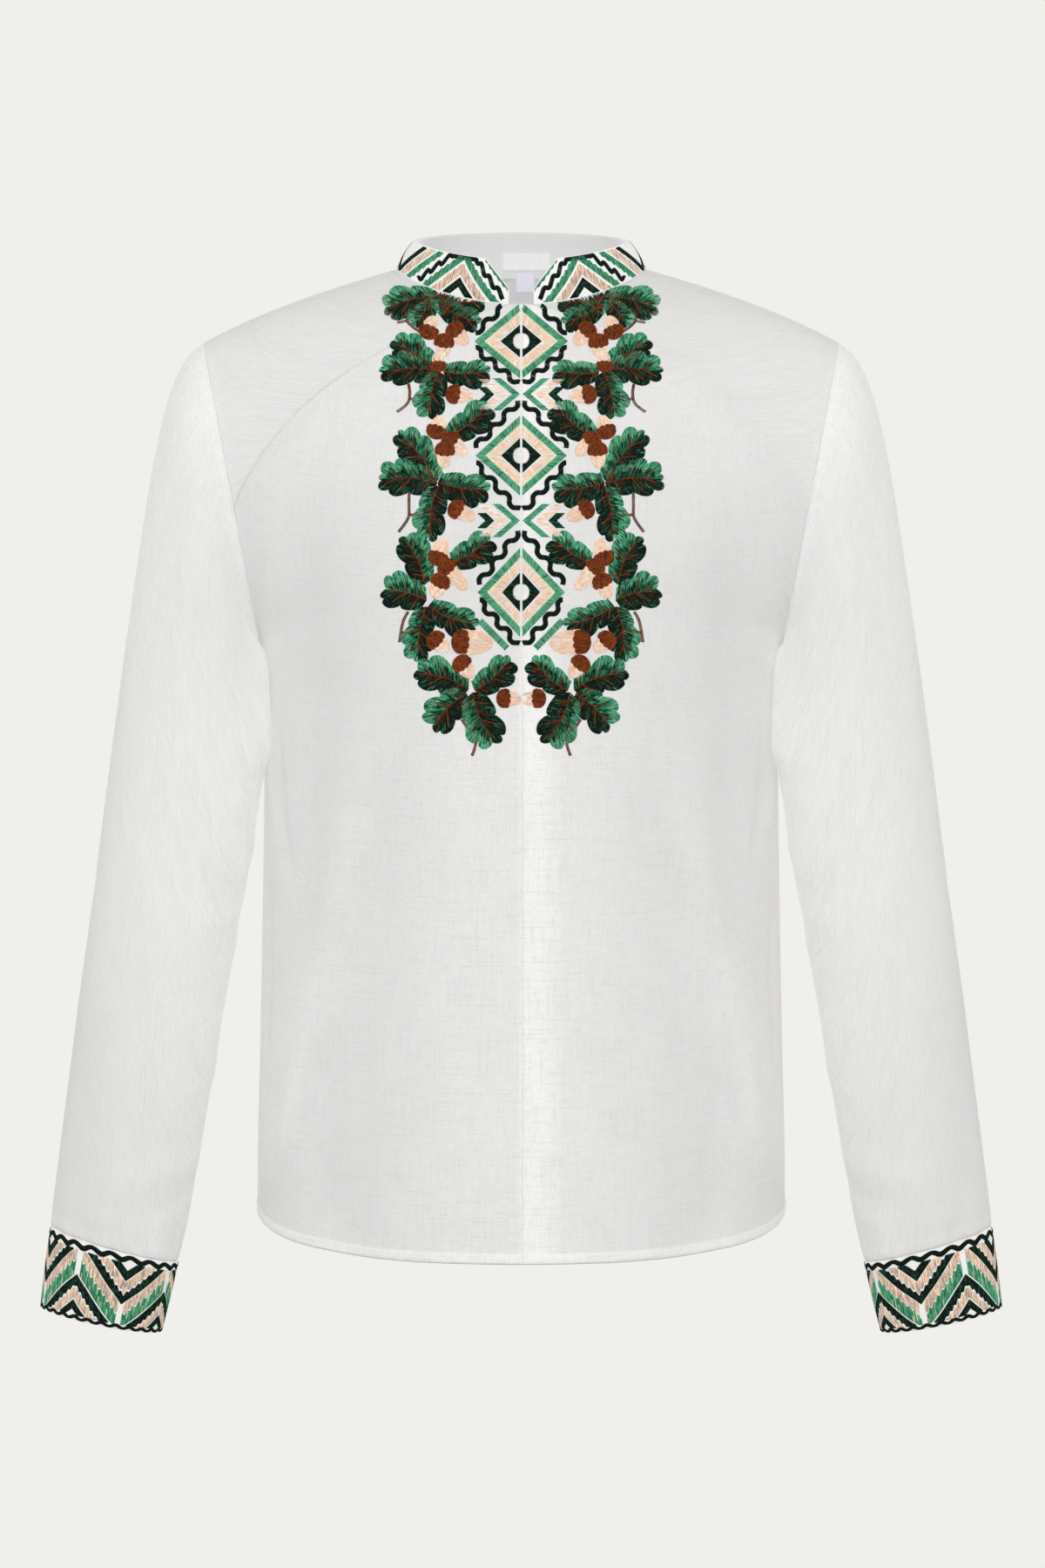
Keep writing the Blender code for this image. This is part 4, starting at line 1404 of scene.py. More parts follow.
# ---- sub-assemblies ----
@dataclass
class Workshop:
    """The finishes and the needle that every sub-assembly draws on."""

    linen: Material
    shaded_body_linen: Material
    band_linen: Material
    needle: ThreadMaker

    def dress(
        self, piece: Object, finish: Material, nodes: Sequence[str], panels: Sequence[Panel],
        rests_on: Sequence[str], with_pieces: Sequence[Object] = (),
    ) -> None:
        """Gives a cloth piece its finish, hangs it on the shirt's root and hides the model's parts that it
        stands for.

        Args:
            piece: The cloth piece.
            finish: Its material.
            nodes: The model's nodes that it stands for.
            panels: The grids that it was made of.
            rests_on: What it is sewn to. Not used.
            with_pieces: The stitching on it. Not used.
        """
        piece.data.materials.clear()
        piece.data.materials.append(finish)
        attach(piece, "root")
        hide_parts(*nodes)
        width = sum(float(np.ptp(panel.weave[..., 0])) for panel in panels)
        length = max(float(np.ptp(panel.weave[..., 1])) for panel in panels)
        area = sum(panel.area() for panel in panels)
        list(rests_on)
        list(with_pieces)
        faces = len(piece.data.polygons)
        log.info("%s: %.3f x %.3f m, %.4f m2, %d faces", piece.name, width, length, area, faces)

    def stitching(self, name: str, node: str, lots: Sequence[dict]) -> Object:
        """Makes a piece of stitching and fixes it to the shirt.

        Args:
            name: The piece's name.
            node: The model's node that it belongs with. Not used.
            lots: Its laid stitches.

        Returns:
            The piece.
        """
        piece = self.needle.make(name, lots)
        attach(piece, "root")
        log.info("%s: %d faces", piece.name, len(piece.data.polygons))
        return piece


@dataclass
class Body:
    """The two fronts, the fly facing and the back, with their seams, hem and chest panels."""

    shop: Workshop
    front: Trunk = Trunk(Side.FRONT)
    rear: Trunk = Trunk(Side.BACK)
    chest: ChestPanel = field(default_factory=ChestPanel)
    cloth: float = 0.0007
    facing: float = 0.0006
    fly_width: float = 0.028
    hem_width: float = 0.007
    underlap_drop: float = 0.0017
    underlap_width: float = 0.024
    columns: int = 56
    # Painted shade along the trunk's fold troughs (heights below 0) and painted light on some ridges (above
    # 0).
    painted_fold_shades: tuple = (
        (0.138, -0.15, 0.15, -0.46, 0.024, -0.17), (0.168, -0.24, 0.172, -0.53, 0.013, -0.1),
        (0.114, -0.35, 0.132, -0.5, 0.018, 0.15), (0.131, -0.45, 0.174, -0.62, 0.018, 0.15),
        (0.11, -0.5, 0.142, -0.67, 0.015, -0.08),
    )

    def painted_shading(self, points: Array) -> Array:
        """Painted light and shade on the trunk: paler at the yoke and down the middle, with painted shade in
        the soft folds' troughs and painted light on some ridges.
        """
        x, z = np.abs(np.nan_to_num(points[..., 0])), np.nan_to_num(points[..., 2])
        pale = 0.17 + 0.13 * smooth((z + 0.176) / 0.06)
        pale = pale + 0.32 * (1 - smooth((x - 0.024) / 0.08)) * smooth((-0.24 - z) / 0.08)
        return np.clip(pale + sum(Fold(*fold).relief(x, z) for fold in self.painted_fold_shades), 0, 1)

    def rows(self) -> Array:
        """Row places from the hem up, closer together at the hem's fold and the shoulder."""
        underarm, neck, top = self.front.rows_to_underarm, self.front.neck_row, self.front.all_rows
        hem = [0.0, 0.02, 0.045, 0.1, 0.17, 0.2, 0.23, 0.3]
        low, middle = np.linspace(0.4, underarm, 98), np.linspace(underarm, neck, 62)[1:]
        return np.concatenate([hem, low, middle, np.linspace(neck, top, 44)[1:-1], [top - 0.06, top]])

    def front_grid(self, inner: Sequence[float]) -> tuple:
        """The shares and rows of a front, with its first columns at set distances from the edge.

        Args:
            inner: Distances of the first columns from the centre line.

        Returns:
            The rows and a grid of shares.
        """
        rows = self.rows()
        near = self.front.share_at(rows, np.array(inner))
        part = 1 - (1 - np.linspace(0, 1, self.columns + 1)[1:]) ** 1.15
        rest = near[:, -1:] + (1 - near[:, -1:]) * part
        above = rows > self.front.neck_row
        spread = np.linspace(0, 1, len(inner)) * near[:, -1:].mean()
        near = np.where(above[:, None], spread, near)
        rest = np.where(above[:, None], near[:, -1:] + (1 - near[:, -1:]) * part, rest)
        return rows, np.concatenate([near, rest], axis=1)

    def panel(self, points: Array, hand: Hand, ply_and_shading: Array, flip: bool) -> Panel:
        """Turns a grid of the left half into a panel of either half.

        Args:
            points: The grid on the wearer's left, from the middle outwards.
            hand: The side it is for.
            ply_and_shading: Its count of extra layers, with painted light and shade added.
            flip: Whether its columns have to run the other way to face outwards.

        Returns:
            The panel.
        """
        points, weave = mirrored(points, hand), woven(points, hand.value)
        if flip:
            points, weave, ply_and_shading = points[:, ::-1], weave[:, ::-1], ply_and_shading[:, ::-1]
        return Panel(points, weave, ply_and_shading)

    def hemmed(self, form: Trunk, rows: Array, share: Array) -> tuple:
        """The cloth, which sinks a little above the hem's fold and so leaves the hem standing.

        Args:
            form: The front or the back.
            rows: Row places.
            share: Places across each row.

        Returns:
            The grid, and how much of each point lies double, with painted light and shade added.
        """
        points = form.surface(rows, share)
        up = run_length(points, 0)
        normal = form.outwards(np.clip(rows, 0.02, form.all_rows - 0.02), share)
        sink = 0.00035 * smooth((up - self.hem_width + 0.0004) / 0.0009)
        sink = sink * smooth((0.05 - up) / 0.04)
        sink = sink + 0.0013 * np.clip(1 - up / 0.0016, 0, 1) ** 2
        ply_and_shading = 0.45 * (1 - smooth((up - self.hem_width) / 0.0009))
        ply_and_shading = ply_and_shading + 0.06 * (1 - smooth(((1 - share) * 0.24 - 0.008) / 0.003))
        # Painted light and shade is added to the real hem and seam layers here.
        return points - normal * sink[..., None], np.clip(ply_and_shading + self.painted_shading(points), 0, 1)

    def front_left(self) -> tuple:
        """The wearer's left front, which laps over the other.

        Returns:
            The piece and its panel.
        """
        fly = self.fly_width
        rows, share = self.front_grid((0.0, 0.004, 0.01, 0.016, 0.022, fly - 0.0008, fly + 0.0008))
        points, ply_and_shading = self.hemmed(self.front, rows, share)
        below = (rows <= self.front.neck_row)[:, None]
        x = points[..., 0]
        strip = np.where(below, 1 - smooth((x - fly + 0.0009) / 0.0018), 0.0)
        proud = np.where(below, 1 - smooth((x - 0.02) / 0.026), 0.0)
        points[..., 1] -= 0.00015 * strip + 0.0004 * proud
        fading = np.where(below, 1 - smooth((x - 0.004) / 0.026), 0.0)
        ply_and_shading = np.clip(ply_and_shading + 0.12 * strip + 0.55 * fading, 0, 1)
        panel = self.panel(points, Hand.LEFT, ply_and_shading, False)
        return sew("front_left_linen", [panel], self.cloth), panel

    def front_right(self) -> tuple:
        """The wearer's right front, which runs on under the other as the button stand.

        Returns:
            The piece and its panel.
        """
        rows, share = self.front_grid((0.0, 0.0006, 0.0014, 0.0024, 0.0036, 0.005, 0.009, 0.014))
        points, ply_and_shading = self.hemmed(self.front, rows, share)
        under = np.array([0.003, 0.008, 0.014, 0.019, self.underlap_width])
        spots = self.front.share_at(rows, under)
        lapped = mirrored(self.front.surface(rows, spots), Hand.RIGHT)
        lapped[rows > self.front.neck_row] = np.nan
        grid = np.concatenate([lapped[:, ::-1], points], axis=1)
        drop = self.underlap_drop * smooth((0.0014 - grid[..., 0]) / 0.006)
        grid[..., 1] += np.where(np.isfinite(drop), drop, 0.0)
        ply_and_shading = ply_and_shading + 0.25 * (1 - smooth(np.nan_to_num(points[..., 0]) / 0.004))
        extra = np.clip(np.concatenate([np.full(lapped.shape[:2], 0.9), ply_and_shading], axis=1), 0, 1)
        weave = woven(np.nan_to_num(grid), -1)[:, ::-1]
        panel = Panel(mirrored(grid, Hand.RIGHT)[:, ::-1], weave, extra[:, ::-1])
        return sew("front_right_linen", [panel], self.cloth), panel

    def fly_facing(self) -> tuple:
        """The second layer behind the left front's edge.

        Returns:
            The piece and its panel.
        """
        rows = np.linspace(0.06, self.front.neck_row - 0.05, 120)
        share = self.front.share_at(rows, np.linspace(0.0042, self.fly_width, 8))
        points = self.front.surface(rows, share)
        points[..., 1] += self.cloth + 0.0001
        panel = self.panel(points, Hand.LEFT, np.full(points.shape[:2], 0.8), False)
        return sew("fly_facing_linen", [panel], self.facing), panel

    def back(self) -> tuple:
        """The back, cut in one piece.

        Returns:
            The piece and its two panels.
        """
        rows = self.rows()
        share = np.tile(1 - (1 - np.linspace(0, 1, 48)) ** 1.12, (len(rows), 1))
        points, ply_and_shading = self.hemmed(self.rear, rows, share)
        panels = [self.panel(points, Hand.LEFT, ply_and_shading, True), self.panel(points, Hand.RIGHT, ply_and_shading, False)]
        piece = sew("back_linen", panels, self.cloth)
        # Painted shade inside the back of the neck.
        paint_shade_inside(piece, 0.9)
        return piece, panels

    def hem_line(self, form: Trunk, hand: Hand) -> dict:
        """Lays the hem's topstitching on one half of the front or back."""
        path = form.surface(np.array([0.155]), np.linspace(0.0, 0.995, 400)[None])[0]
        return running_stitch(mirrored(path, hand), np.array((0.0, float(form.side.value), 0.0)))

    def build(self) -> None:
        """Builds the trunk and its stitching."""
        left, right, (facing, facing_panel) = self.front_left(), self.front_right(), self.fly_facing()
        back, back_panels = self.back()
        dress, linen, stitching = self.shop.dress, self.shop.shaded_body_linen, self.shop.stitching
        trims = {}
        for hand, (_, panel) in zip(Hand, (left, right)):
            side = hand.name.lower()
            node, lay = f"front_{side}", self.cast_on(panel, hand)
            works = (("leaves", self.chest.leaf_work(11 + hand.value)),
                     ("borders", self.chest.band_work(31 + hand.value)))
            trims[hand] = [
                stitching(f"chest_{label}_{side}", node, [laid(lay, work.table)]) for label, work in works
            ]
            trims[hand].append(stitching(f"hem_stitching_{node}", node, [self.hem_line(self.front, hand)]))
        hem = stitching("hem_stitching_back", "back", [self.hem_line(self.rear, hand) for hand in Hand])
        for hand, (piece, panel) in zip(Hand, (left, right)):
            dress(piece, linen, [f"front_{hand.name.lower()}"], [panel], ["back", "collar"], trims[hand])
        dress(facing, linen, ["fly_facing"], [facing_panel], ["front_left"])
        dress(back, linen, ["back"], back_panels, ["collar"], [hem])

    def cast_on(self, panel: Panel, hand: Hand) -> Callable[[Array], tuple]:
        """Makes the laying for a chest panel, which is pressed straight back onto the front.

        Args:
            panel: The front's outer face.
            hand: The side it is on.

        Returns:
            A function from flat points to places and normals.
        """
        quads, _ = panel.faces()
        spots = np.nan_to_num(panel.points.reshape(-1, 3), nan=9.0)
        tree = BVHTree.FromPolygons(spots.tolist(), quads.tolist())

        def lay(flat: Array) -> tuple:
            """Places flat points on the front and reads the cloth's normals."""
            places, normals = np.full((len(flat), 3), np.nan), np.zeros((len(flat), 3))
            for number, (x, z) in enumerate(flat.tolist()):
                spot, normal, _, _ = tree.ray_cast((x * hand.value, -0.5, z), (0.0, 1.0, 0.0))
                if spot is not None:
                    places[number] = spot
                    normals[number] = normal if normal.y < 0 else -normal
            return places, normals

        return lay


def running_stitch(path: Array, out: Array, step: float = 0.003) -> dict:
    """Lays white topstitching along a path on the cloth.

    Args:
        path: Points of the path.
        out: Roughly which way the cloth faces.
        step: From one stitch to the next.

    Returns:
        The laid stitches.
    """
    way = run_length(path, 0)
    starts = np.arange(0, way[-1] - step, step)
    first, last = read_along(path, way, starts), read_along(path, way, starts + step * 0.8)
    count, run = len(starts), last - first
    up = np.broadcast_to(out, first.shape)
    lean = np.einsum("ij,ij->i", up, run) / (np.einsum("ij,ij->i", run, run) + 1e-12)
    up = unit(up - run * lean[:, None])
    length = np.linalg.norm(run, axis=1)
    size = np.stack([np.full(count, 0.00017), np.full(count, 0.00021), length], axis=1)
    tone = np.random.default_rng(5).normal(1.0, 0.03, count)
    dye = np.full(count, Dye.WHITE.number)
    centre = (first + last) / 2 + up * 0.00002
    return {"co": centre, "run": unit(run), "up": up, "size": size, "dye": dye, "tone": tone}


@dataclass
class Sleeve:
    """One sleeve, a tube from the armhole seam to the cuff seam."""

    shop: Workshop
    hand: Hand
    cloth: float = 0.0007
    rings: tuple = (
        (0.2285, 0.0, -0.048, 0.1862, 0.0, -0.272, 0.065),
        (0.24, 0.001, -0.0585, 0.1868, -0.008, -0.2802, 0.0662),
        (0.2505, 0.002, -0.08, 0.1852, -0.018, -0.2895, 0.067),
        (0.2587, 0.003, -0.109, 0.1843, -0.025, -0.304, 0.0672),
        (0.2663, 0.003, -0.147, 0.1833, -0.03, -0.322, 0.0665),
        (0.2735, 0.002, -0.193, 0.183, -0.032, -0.343, 0.065),
        (0.2803, 0.0, -0.24, 0.1846, -0.033, -0.364, 0.0635),
        (0.2873, -0.002, -0.292, 0.188, -0.034, -0.388, 0.0615),
        (0.2943, -0.005, -0.347, 0.1924, -0.034, -0.418, 0.06),
        (0.301, -0.009, -0.402, 0.1988, -0.034, -0.453, 0.059),
        (0.3077, -0.014, -0.457, 0.206, -0.034, -0.493, 0.058),
        (0.3148, -0.019, -0.512, 0.213, -0.035, -0.537, 0.056),
        (0.3212, -0.024, -0.565, 0.2215, -0.037, -0.586, 0.0535),
        (0.3272, -0.028, -0.614, 0.2298, -0.038, -0.635, 0.0505),
        (0.3312, -0.031, -0.65, 0.2368, -0.039, -0.674, 0.0482),
        (0.334, -0.033, -0.6776, 0.2437, -0.04, -0.7022, 0.0462),
    )
    armhole_inset: float = 0.0028
    tuck: float = 0.0026
    underarm_turn: float = 160.0
    underarm_reach: float = 18.0
    underarm_lean: float = 0.0076
    columns: int = 76
    main_folds: tuple = (
        (-0.405, 208.0, 0.3, 0.013, 50.0, 0.0015), (-0.442, 142.0, -0.35, 0.012, 42.0, -0.0014),
        (-0.475, 214.0, 0.25, 0.013, 50.0, 0.0016), (-0.52, 146.0, -0.3, 0.014, 42.0, -0.0013),
        (-0.64, 120.0, 0.2, 0.011, 50.0, 0.0014),
    )
    creases: tuple = (
        (-0.33, 205.0, 0.55, 0.01, 46.0, -0.0011), (-0.372, 150.0, 0.4, 0.009, 36.0, 0.0009),
        (-0.425, 195.0, -0.25, 0.008, 42.0, -0.0007), (-0.458, 150.0, 0.45, 0.008, 34.0, 0.0009),
        (-0.498, 208.0, -0.4, 0.009, 44.0, -0.0009), (-0.56, 205.0, 0.35, 0.01, 48.0, 0.0012),
        (-0.6, 250.0, -0.3, 0.01, 50.0, -0.0011), (-0.45, 320.0, 0.3, 0.012, 46.0, -0.0013),
        (-0.5, 300.0, -0.35, 0.011, 50.0, 0.0012), (-0.665, 60.0, -0.25, 0.008, 40.0, 0.0008),
        (-0.655, 150.0, 0.35, 0.008, 36.0, -0.0009),
    )

    @staticmethod
    def relief(folds: Sequence[Sequence[float]], z: Array, degrees: Array) -> Array:
        """How far folds push the sleeve out.

        Args:
            folds: Height, turn, slope, width, reach and height of each fold.
            z: Heights.
            degrees: Turns round the sleeve.

        Returns:
            The push at each point.
        """
        total = np.zeros(np.broadcast(z, degrees).shape)
        for fold_z, turn, slope, width, reach, height in folds:
            away = (degrees - turn + 180) % 360 - 180
            line = fold_z + slope * 0.055 * np.radians(away)
            total = total + height * np.exp(-((away / reach) ** 2)) * np.exp(-(((z - line) / width) ** 2))
        return total

    def surface(self, place: Array, degrees: Array) -> Array:
        """The left sleeve's outer face.

        Args:
            place: Ring places from the armhole, one a row.
            degrees: Turns round it, one a column.

        Returns:
            A grid of points.
        """
        ring = through(self.rings, place)[:, None]
        turns = np.broadcast_to(degrees, (len(place), len(degrees)))
        number = np.where(place < 1, 2 * place, place + 1)
        inset = (self.armhole_inset * smooth(1 - number / 3))[:, None]
        points = ring_point(ring, turns, inset)
        outwards = points - (ring[..., 0:3] + ring[..., 3:6]) / 2
        outwards[..., 2] = 0.0
        outwards = unit(outwards)
        push = self.relief(self.main_folds, points[..., 2], turns)
        push = push + self.relief(self.creases, points[..., 2], turns) * smooth(place / 2)[:, None]
        near_cuff = smooth((place - 13.2) / 1.8)[:, None]
        push = push + 0.0007 * near_cuff * np.sin(np.radians(turns * 9 + 40 * np.sin(np.radians(turns * 2))))
        push = push - 0.0005 * np.exp(-((place / 0.08) ** 2))[:, None]
        push = push - 0.0009 * smooth((place - 14.8) / 0.2)[:, None]
        points = points + outwards * push[..., None]
        facing = np.exp(-(((turns - self.underarm_turn) / self.underarm_reach) ** 2))
        facing, z = facing * smooth((place - 0.1) / 0.8)[:, None], points[..., 2]
        lean = self.underarm_lean * facing * smooth((-0.25 - z) / 0.025)
        points[..., 0] -= lean * smooth((z + 0.372) / 0.034)
        return points

    def painted_shading(self, points: Array, degrees: Array) -> Array:
        """Painted light and shade on the sleeve: paler above the elbow and along the inner side, darker
        towards the cuff.
        """
        outer, z = np.cos(np.radians(degrees)), points[..., 2]
        upper = 0.52 + 0.26 * outer
        lower = 0.62 - 0.22 * outer - (0.44 + 0.26 * outer) * smooth((-0.33 - z) / 0.36)
        return np.clip(upper + (lower - upper) * smooth((-0.2 - z) / 0.14), 0, 1)

    def build(self) -> None:
        place = np.concatenate([[0.0, 0.05, 0.12, 0.22], np.linspace(0.34, 15, 168)])
        degrees = np.arange(self.columns) * 360 / self.columns
        points = self.surface(place, degrees)
        centre = points[0].mean(axis=0)
        turned_in = points[0] - unit(points[4] - points[0]) * self.tuck + unit(centre - points[0]) * 0.0009
        points = np.concatenate([turned_in[None], points])
        down = run_length(points, 0)
        left = down[-1:] - down
        head, foot = smooth((down - 0.009) / 0.003), smooth((left - 0.008) / 0.003)
        ply_and_shading = np.maximum(0.08 * (1 - head), 0.12 * (1 - foot))
        # Painted light and shade is added to the sleeve's real seam layers here.
        panel = tube(points, np.clip(ply_and_shading + self.painted_shading(points, degrees), 0, 1), self.hand)
        side = self.hand.name.lower()
        piece = sew(f"sleeve_{side}_linen", [panel], self.cloth)
        self.shop.dress(piece, self.shop.linen, [f"sleeve_{side}"], [panel], [f"front_{side}", "back"])


@dataclass
class Cuff:
    """One stiffened cuff, stitched all round with a zigzag border."""

    shop: Workshop
    hand: Hand
    band: float = 0.0019
    rings: tuple = (
        (0.3344, -0.033, -0.6785, 0.2436, -0.04, -0.7031, 0.0466),
        (0.3382, -0.035, -0.707, 0.2492, -0.041, -0.728, 0.045),
        (0.3412, -0.036, -0.7345, 0.2552, -0.042, -0.752, 0.0438),
    )
    first_peak: float = 66.0
    columns: int = 88
    stripes: tuple = (
        (1.4, 8.4, SANDS, (0.32, 0.46, 0.17, 0.05), -1.4),
        (-8.8, 0.6, (Dye.FERN, Dye.MINT, Dye.CREAM), (0.55, 0.38, 0.07), 2.2),
        (9.0, 15.6, DARKS, (0.85, 0.15), 1.6),
        (17.0, 23.4, SANDS, (0.32, 0.46, 0.14, 0.08), -1.4),
        (24.2, 30.8, DARKS, (0.85, 0.15), 0.0),
        (-17.0, -10.0, DARKS, (0.8, 0.2), -1.6),
        (-24.6, -18.2, SANDS, (0.32, 0.46, 0.14, 0.08), 1.4),
        (-32.0, -25.8, DARKS, (0.85, 0.15), 0.0),
    )

    def surface(self, place: Array, degrees: Array) -> Array:
        """Points of the left cuff's outer face.

        Args:
            place: From the sleeve seam (0) to the open edge (2).
            degrees: Turns round it, of the same shape.

        Returns:
            The points.
        """
        ring = through(self.rings, place)
        points = ring_point(ring, degrees)
        outwards = unit(points - (ring[..., 0:3] + ring[..., 3:6]) / 2)
        edge = -0.0006 * np.exp(-((place / 0.05) ** 2))
        return points + outwards * edge[..., None]

    def border(self, way: float, height: float) -> ZigzagBand:
        """The border with its four peaks, for the way round the cuff and its height in millimetres."""
        peak, middle = self.first_peak / 360 * way, height / 2 - 1
        return ZigzagBand(0.0, way, peak, way / 8, 5.0, height - 7.4, 0.88, self.stripes, middle, 2.2)

    def build(self) -> None:
        """Builds the cuff and its border."""
        place, degrees = np.linspace(0, 2, 22), np.arange(self.columns) * 360 / self.columns
        turns, places = np.meshgrid(degrees, place)
        panel = tube(self.surface(places, turns), np.full(places.shape, 0.7), self.hand)
        side = self.hand.name.lower()
        piece = sew(f"cuff_{side}_linen", [panel], self.band, 0.0006)
        stitched, linen = self.stitching(side), self.shop.band_linen
        self.shop.dress(piece, linen, [f"cuff_{side}"], [panel], [f"sleeve_{side}"], [stitched])

    def stitching(self, side: str) -> Object:
        """Makes the border's thread.

        Args:
            side: left or right.

        Returns:
            The piece.
        """
        fine = np.linspace(0, 360, 361)
        middle = self.surface(np.full(361, 1.0), fine)
        way = run_length(middle, 0)
        seam, edge = self.surface(np.array([0.0, 2.0]), np.array([90.0, 90.0]))
        height = float(np.linalg.norm(edge - seam))

        def lay(flat: Array) -> tuple:
            """Places flat points (way round, height) on the cuff and reads its normals."""
            turn = np.interp(flat[:, 0] % way[-1], way, fine)
            place = 2 * (1 - flat[:, 1] / height)
            spot = self.surface(place, turn)
            along = self.surface(place, turn + 0.5) - self.surface(place, turn - 0.5)
            down = self.surface(place + 0.02, turn) - self.surface(place - 0.02, turn)
            normal = unit(np.cross(along, down))
            return mirrored(spot, self.hand), mirrored(normal, self.hand)

        work = Stitches(70 + self.hand.value)
        round_mm, height_mm = way[-1] / MM, height / MM
        border = self.border(round_mm, height_mm)
        border.stitch(work, lambda along: np.full(along.shape, height_mm - 7.2))
        along = np.linspace(0, round_mm, 1400)
        waves = ((height_mm - 3.9, 1.7, 4.2, 0.2, 20), (2.9, 1.2, 3.3, 0.0, 27))
        for level, swing, thickness, lean, count in waves:
            turn = 2 * math.pi * along / (round_mm / count)
            wave = level + swing * (np.sin(turn) + lean * 0.5 * np.sin(2 * turn))
            satin_line(work, np.stack([along, wave], axis=1) * MM, thickness * MM, BLACK, unevenness=0.2)
        return self.shop.stitching(f"cuff_border_{side}", f"cuff_{side}", [laid(lay, work.table)])


@dataclass
class Collar:
    """The stand collar with its border, and the two blank labels inside it."""

    shop: Workshop
    form: Trunk = Trunk(Side.FRONT)
    band: float = 0.0019
    top: tuple = (0.077, 0.059, 0.052, 0.0262, 0.0062, 0.0375, 1.4, 1.1)
    end_x: float = 0.009
    corner_x: float = 0.029
    end_height: float = 0.3
    corner_power: float = 0.85
    bulge: float = 0.0012
    lap: float = 0.0012
    gap: float = 0.0006
    label: float = 0.0008
    label_x: tuple = (-0.0145, 0.0225)
    label_rise: tuple = (0.16, 0.56)
    tab_x: tuple = (-0.004, 0.01)
    tab_length: float = 0.015
    first_peak: float = 44.6
    stripes: tuple = (
        (-3.8, 3.8, (Dye.FERN, Dye.MINT), (0.6, 0.4), 1.4),
        (-15.2, -6.6, SANDS[:3], (0.36, 0.44, 0.2), 1.3),
        (-25.0, -17.4, DARKS, (0.85, 0.15), 0.0),
        (18.6, 25.8, (Dye.FERN, Dye.MINT), (0.7, 0.3), -1.4),
        (28.4, 37.0, SANDS[:3], (0.36, 0.44, 0.2), 1.3),
        (39.4, 46.0, DARKS, (0.85, 0.15), 0.0),
    )

    def surface(self, degrees: Array, rise: Array) -> Array:
        """Points of the collar's outer face.

        Args:
            degrees: Turns round the neck.
            rise: From the neck seam (0) to the free edge (1), of the same shape.

        Returns:
            The points.
        """
        base = self.form.neck_point(degrees) + np.array((0.0, 0.0, 0.0007))
        upper = oval_point(self.top, degrees)
        turn = np.radians(degrees)
        out = np.stack([np.sin(turn), -np.cos(turn), np.zeros_like(turn)], axis=-1)
        bulge = self.bulge * np.sin(math.pi * np.clip(rise, 0, 1))
        return base + (upper - base) * rise[..., None] + out * bulge[..., None]

    def height_share(self, degrees: Array) -> Array:
        """How much of the band's height stands there: its front corners are cut away."""
        x = np.abs(self.form.neck_seam[0] * np.sin(np.radians(degrees)))
        share = np.clip((x - self.end_x) / (self.corner_x - self.end_x), 0, 1)
        cut = self.end_height + (1 - self.end_height) * share**self.corner_power
        return np.where(np.cos(np.radians(degrees)) < 0, 1.0, cut)

    def turns(self) -> Array:
        """The angles of the collar's columns, closer together at its cut-away corners."""
        end = math.degrees(math.asin(self.end_x / self.form.neck_seam[0]))
        corner = math.degrees(math.asin(self.corner_x / self.form.neck_seam[0]))
        near = end + (corner - end) * np.linspace(0, 1, 15)[:-1] ** 1.2
        middle = np.linspace(corner, 360 - corner, 150)
        return np.concatenate([near, middle, 360 - near[::-1]])

    def frame_at(self, turn: Array, rise: Array) -> Array:
        """Unit normals of the outer face."""
        along = self.surface(turn + 0.5, rise) - self.surface(turn - 0.5, rise)
        up = self.surface(turn, rise + 0.02) - self.surface(turn, rise - 0.02)
        return unit(np.cross(along, up))

    def build(self) -> None:
        """Builds the collar, its border and its labels."""
        turns = self.turns()
        turn, part = np.meshgrid(turns, np.linspace(0, 1, 17))
        low = -self.lap / 0.033
        rise = low + (self.height_share(turn) - low) * part
        points = self.surface(turn, rise)
        panel = Panel(points, woven(points), np.full(points.shape[:2], 0.7))
        piece = sew("collar_linen", [panel], self.band, 0.0006)
        # Painted shade on the collar's inside at the back.
        paint_shade_inside(piece, 1.9)
        self.shop.dress(piece, self.shop.band_linen, ["collar"], [panel], ["back"], [self.stitching()])
        self.labels()

    def stitching(self) -> Object:
        """Makes the border's thread, from each front end round to the nape, with a wave above its green.

        Returns:
            The piece.
        """
        fine = np.linspace(0, 180, 361)
        way = run_length(self.surface(fine, np.full(361, 0.5)), 0)
        tall = np.linalg.norm(self.surface(fine, np.ones(361)) - self.surface(fine, np.zeros(361)), axis=1)
        lots = []
        for hand in Hand:

            def lay(flat: Array, hand: Hand = hand) -> tuple:
                """Places flat points (way from the throat, height) on the collar."""
                turn = np.interp(flat[:, 0], way, fine)
                rise = flat[:, 1] / np.interp(turn, fine, tall)
                return mirrored(self.surface(turn, rise), hand), mirrored(self.frame_at(turn, rise), hand)

            def top(along: Array) -> Array:
                """The stitching's upper limit, in millimetres."""
                turn = np.interp(along * MM, way, fine)
                return np.interp(turn, fine, tall) * self.height_share(turn) / MM - 1.2

            work = Stitches(90 + hand.value)
            end = way[-1] / MM
            border = self.border(end)
            border.stitch(work, top)
            along = np.linspace(10, end, 1400)
            line = border.middle(along) + 10.6 + 2.0 * np.sin(2 * math.pi * along / 7.1)
            line = np.minimum(line, top(along) - 1.0)
            keep = (line > 2.0) & (line < top(along) - 0.6)
            edges = np.flatnonzero(np.diff(np.concatenate([[0], keep.astype(int), [0]])))
            for start, stop in zip(edges[::2], edges[1::2]):
                if stop - start > 12:
                    path = np.stack([along[start:stop], line[start:stop]], axis=1) * MM
                    satin_line(work, path, 0.0034, BLACK, unevenness=0.2)
            lots.append(laid(lay, work.table))
        return self.shop.stitching("collar_border", "collar", lots)

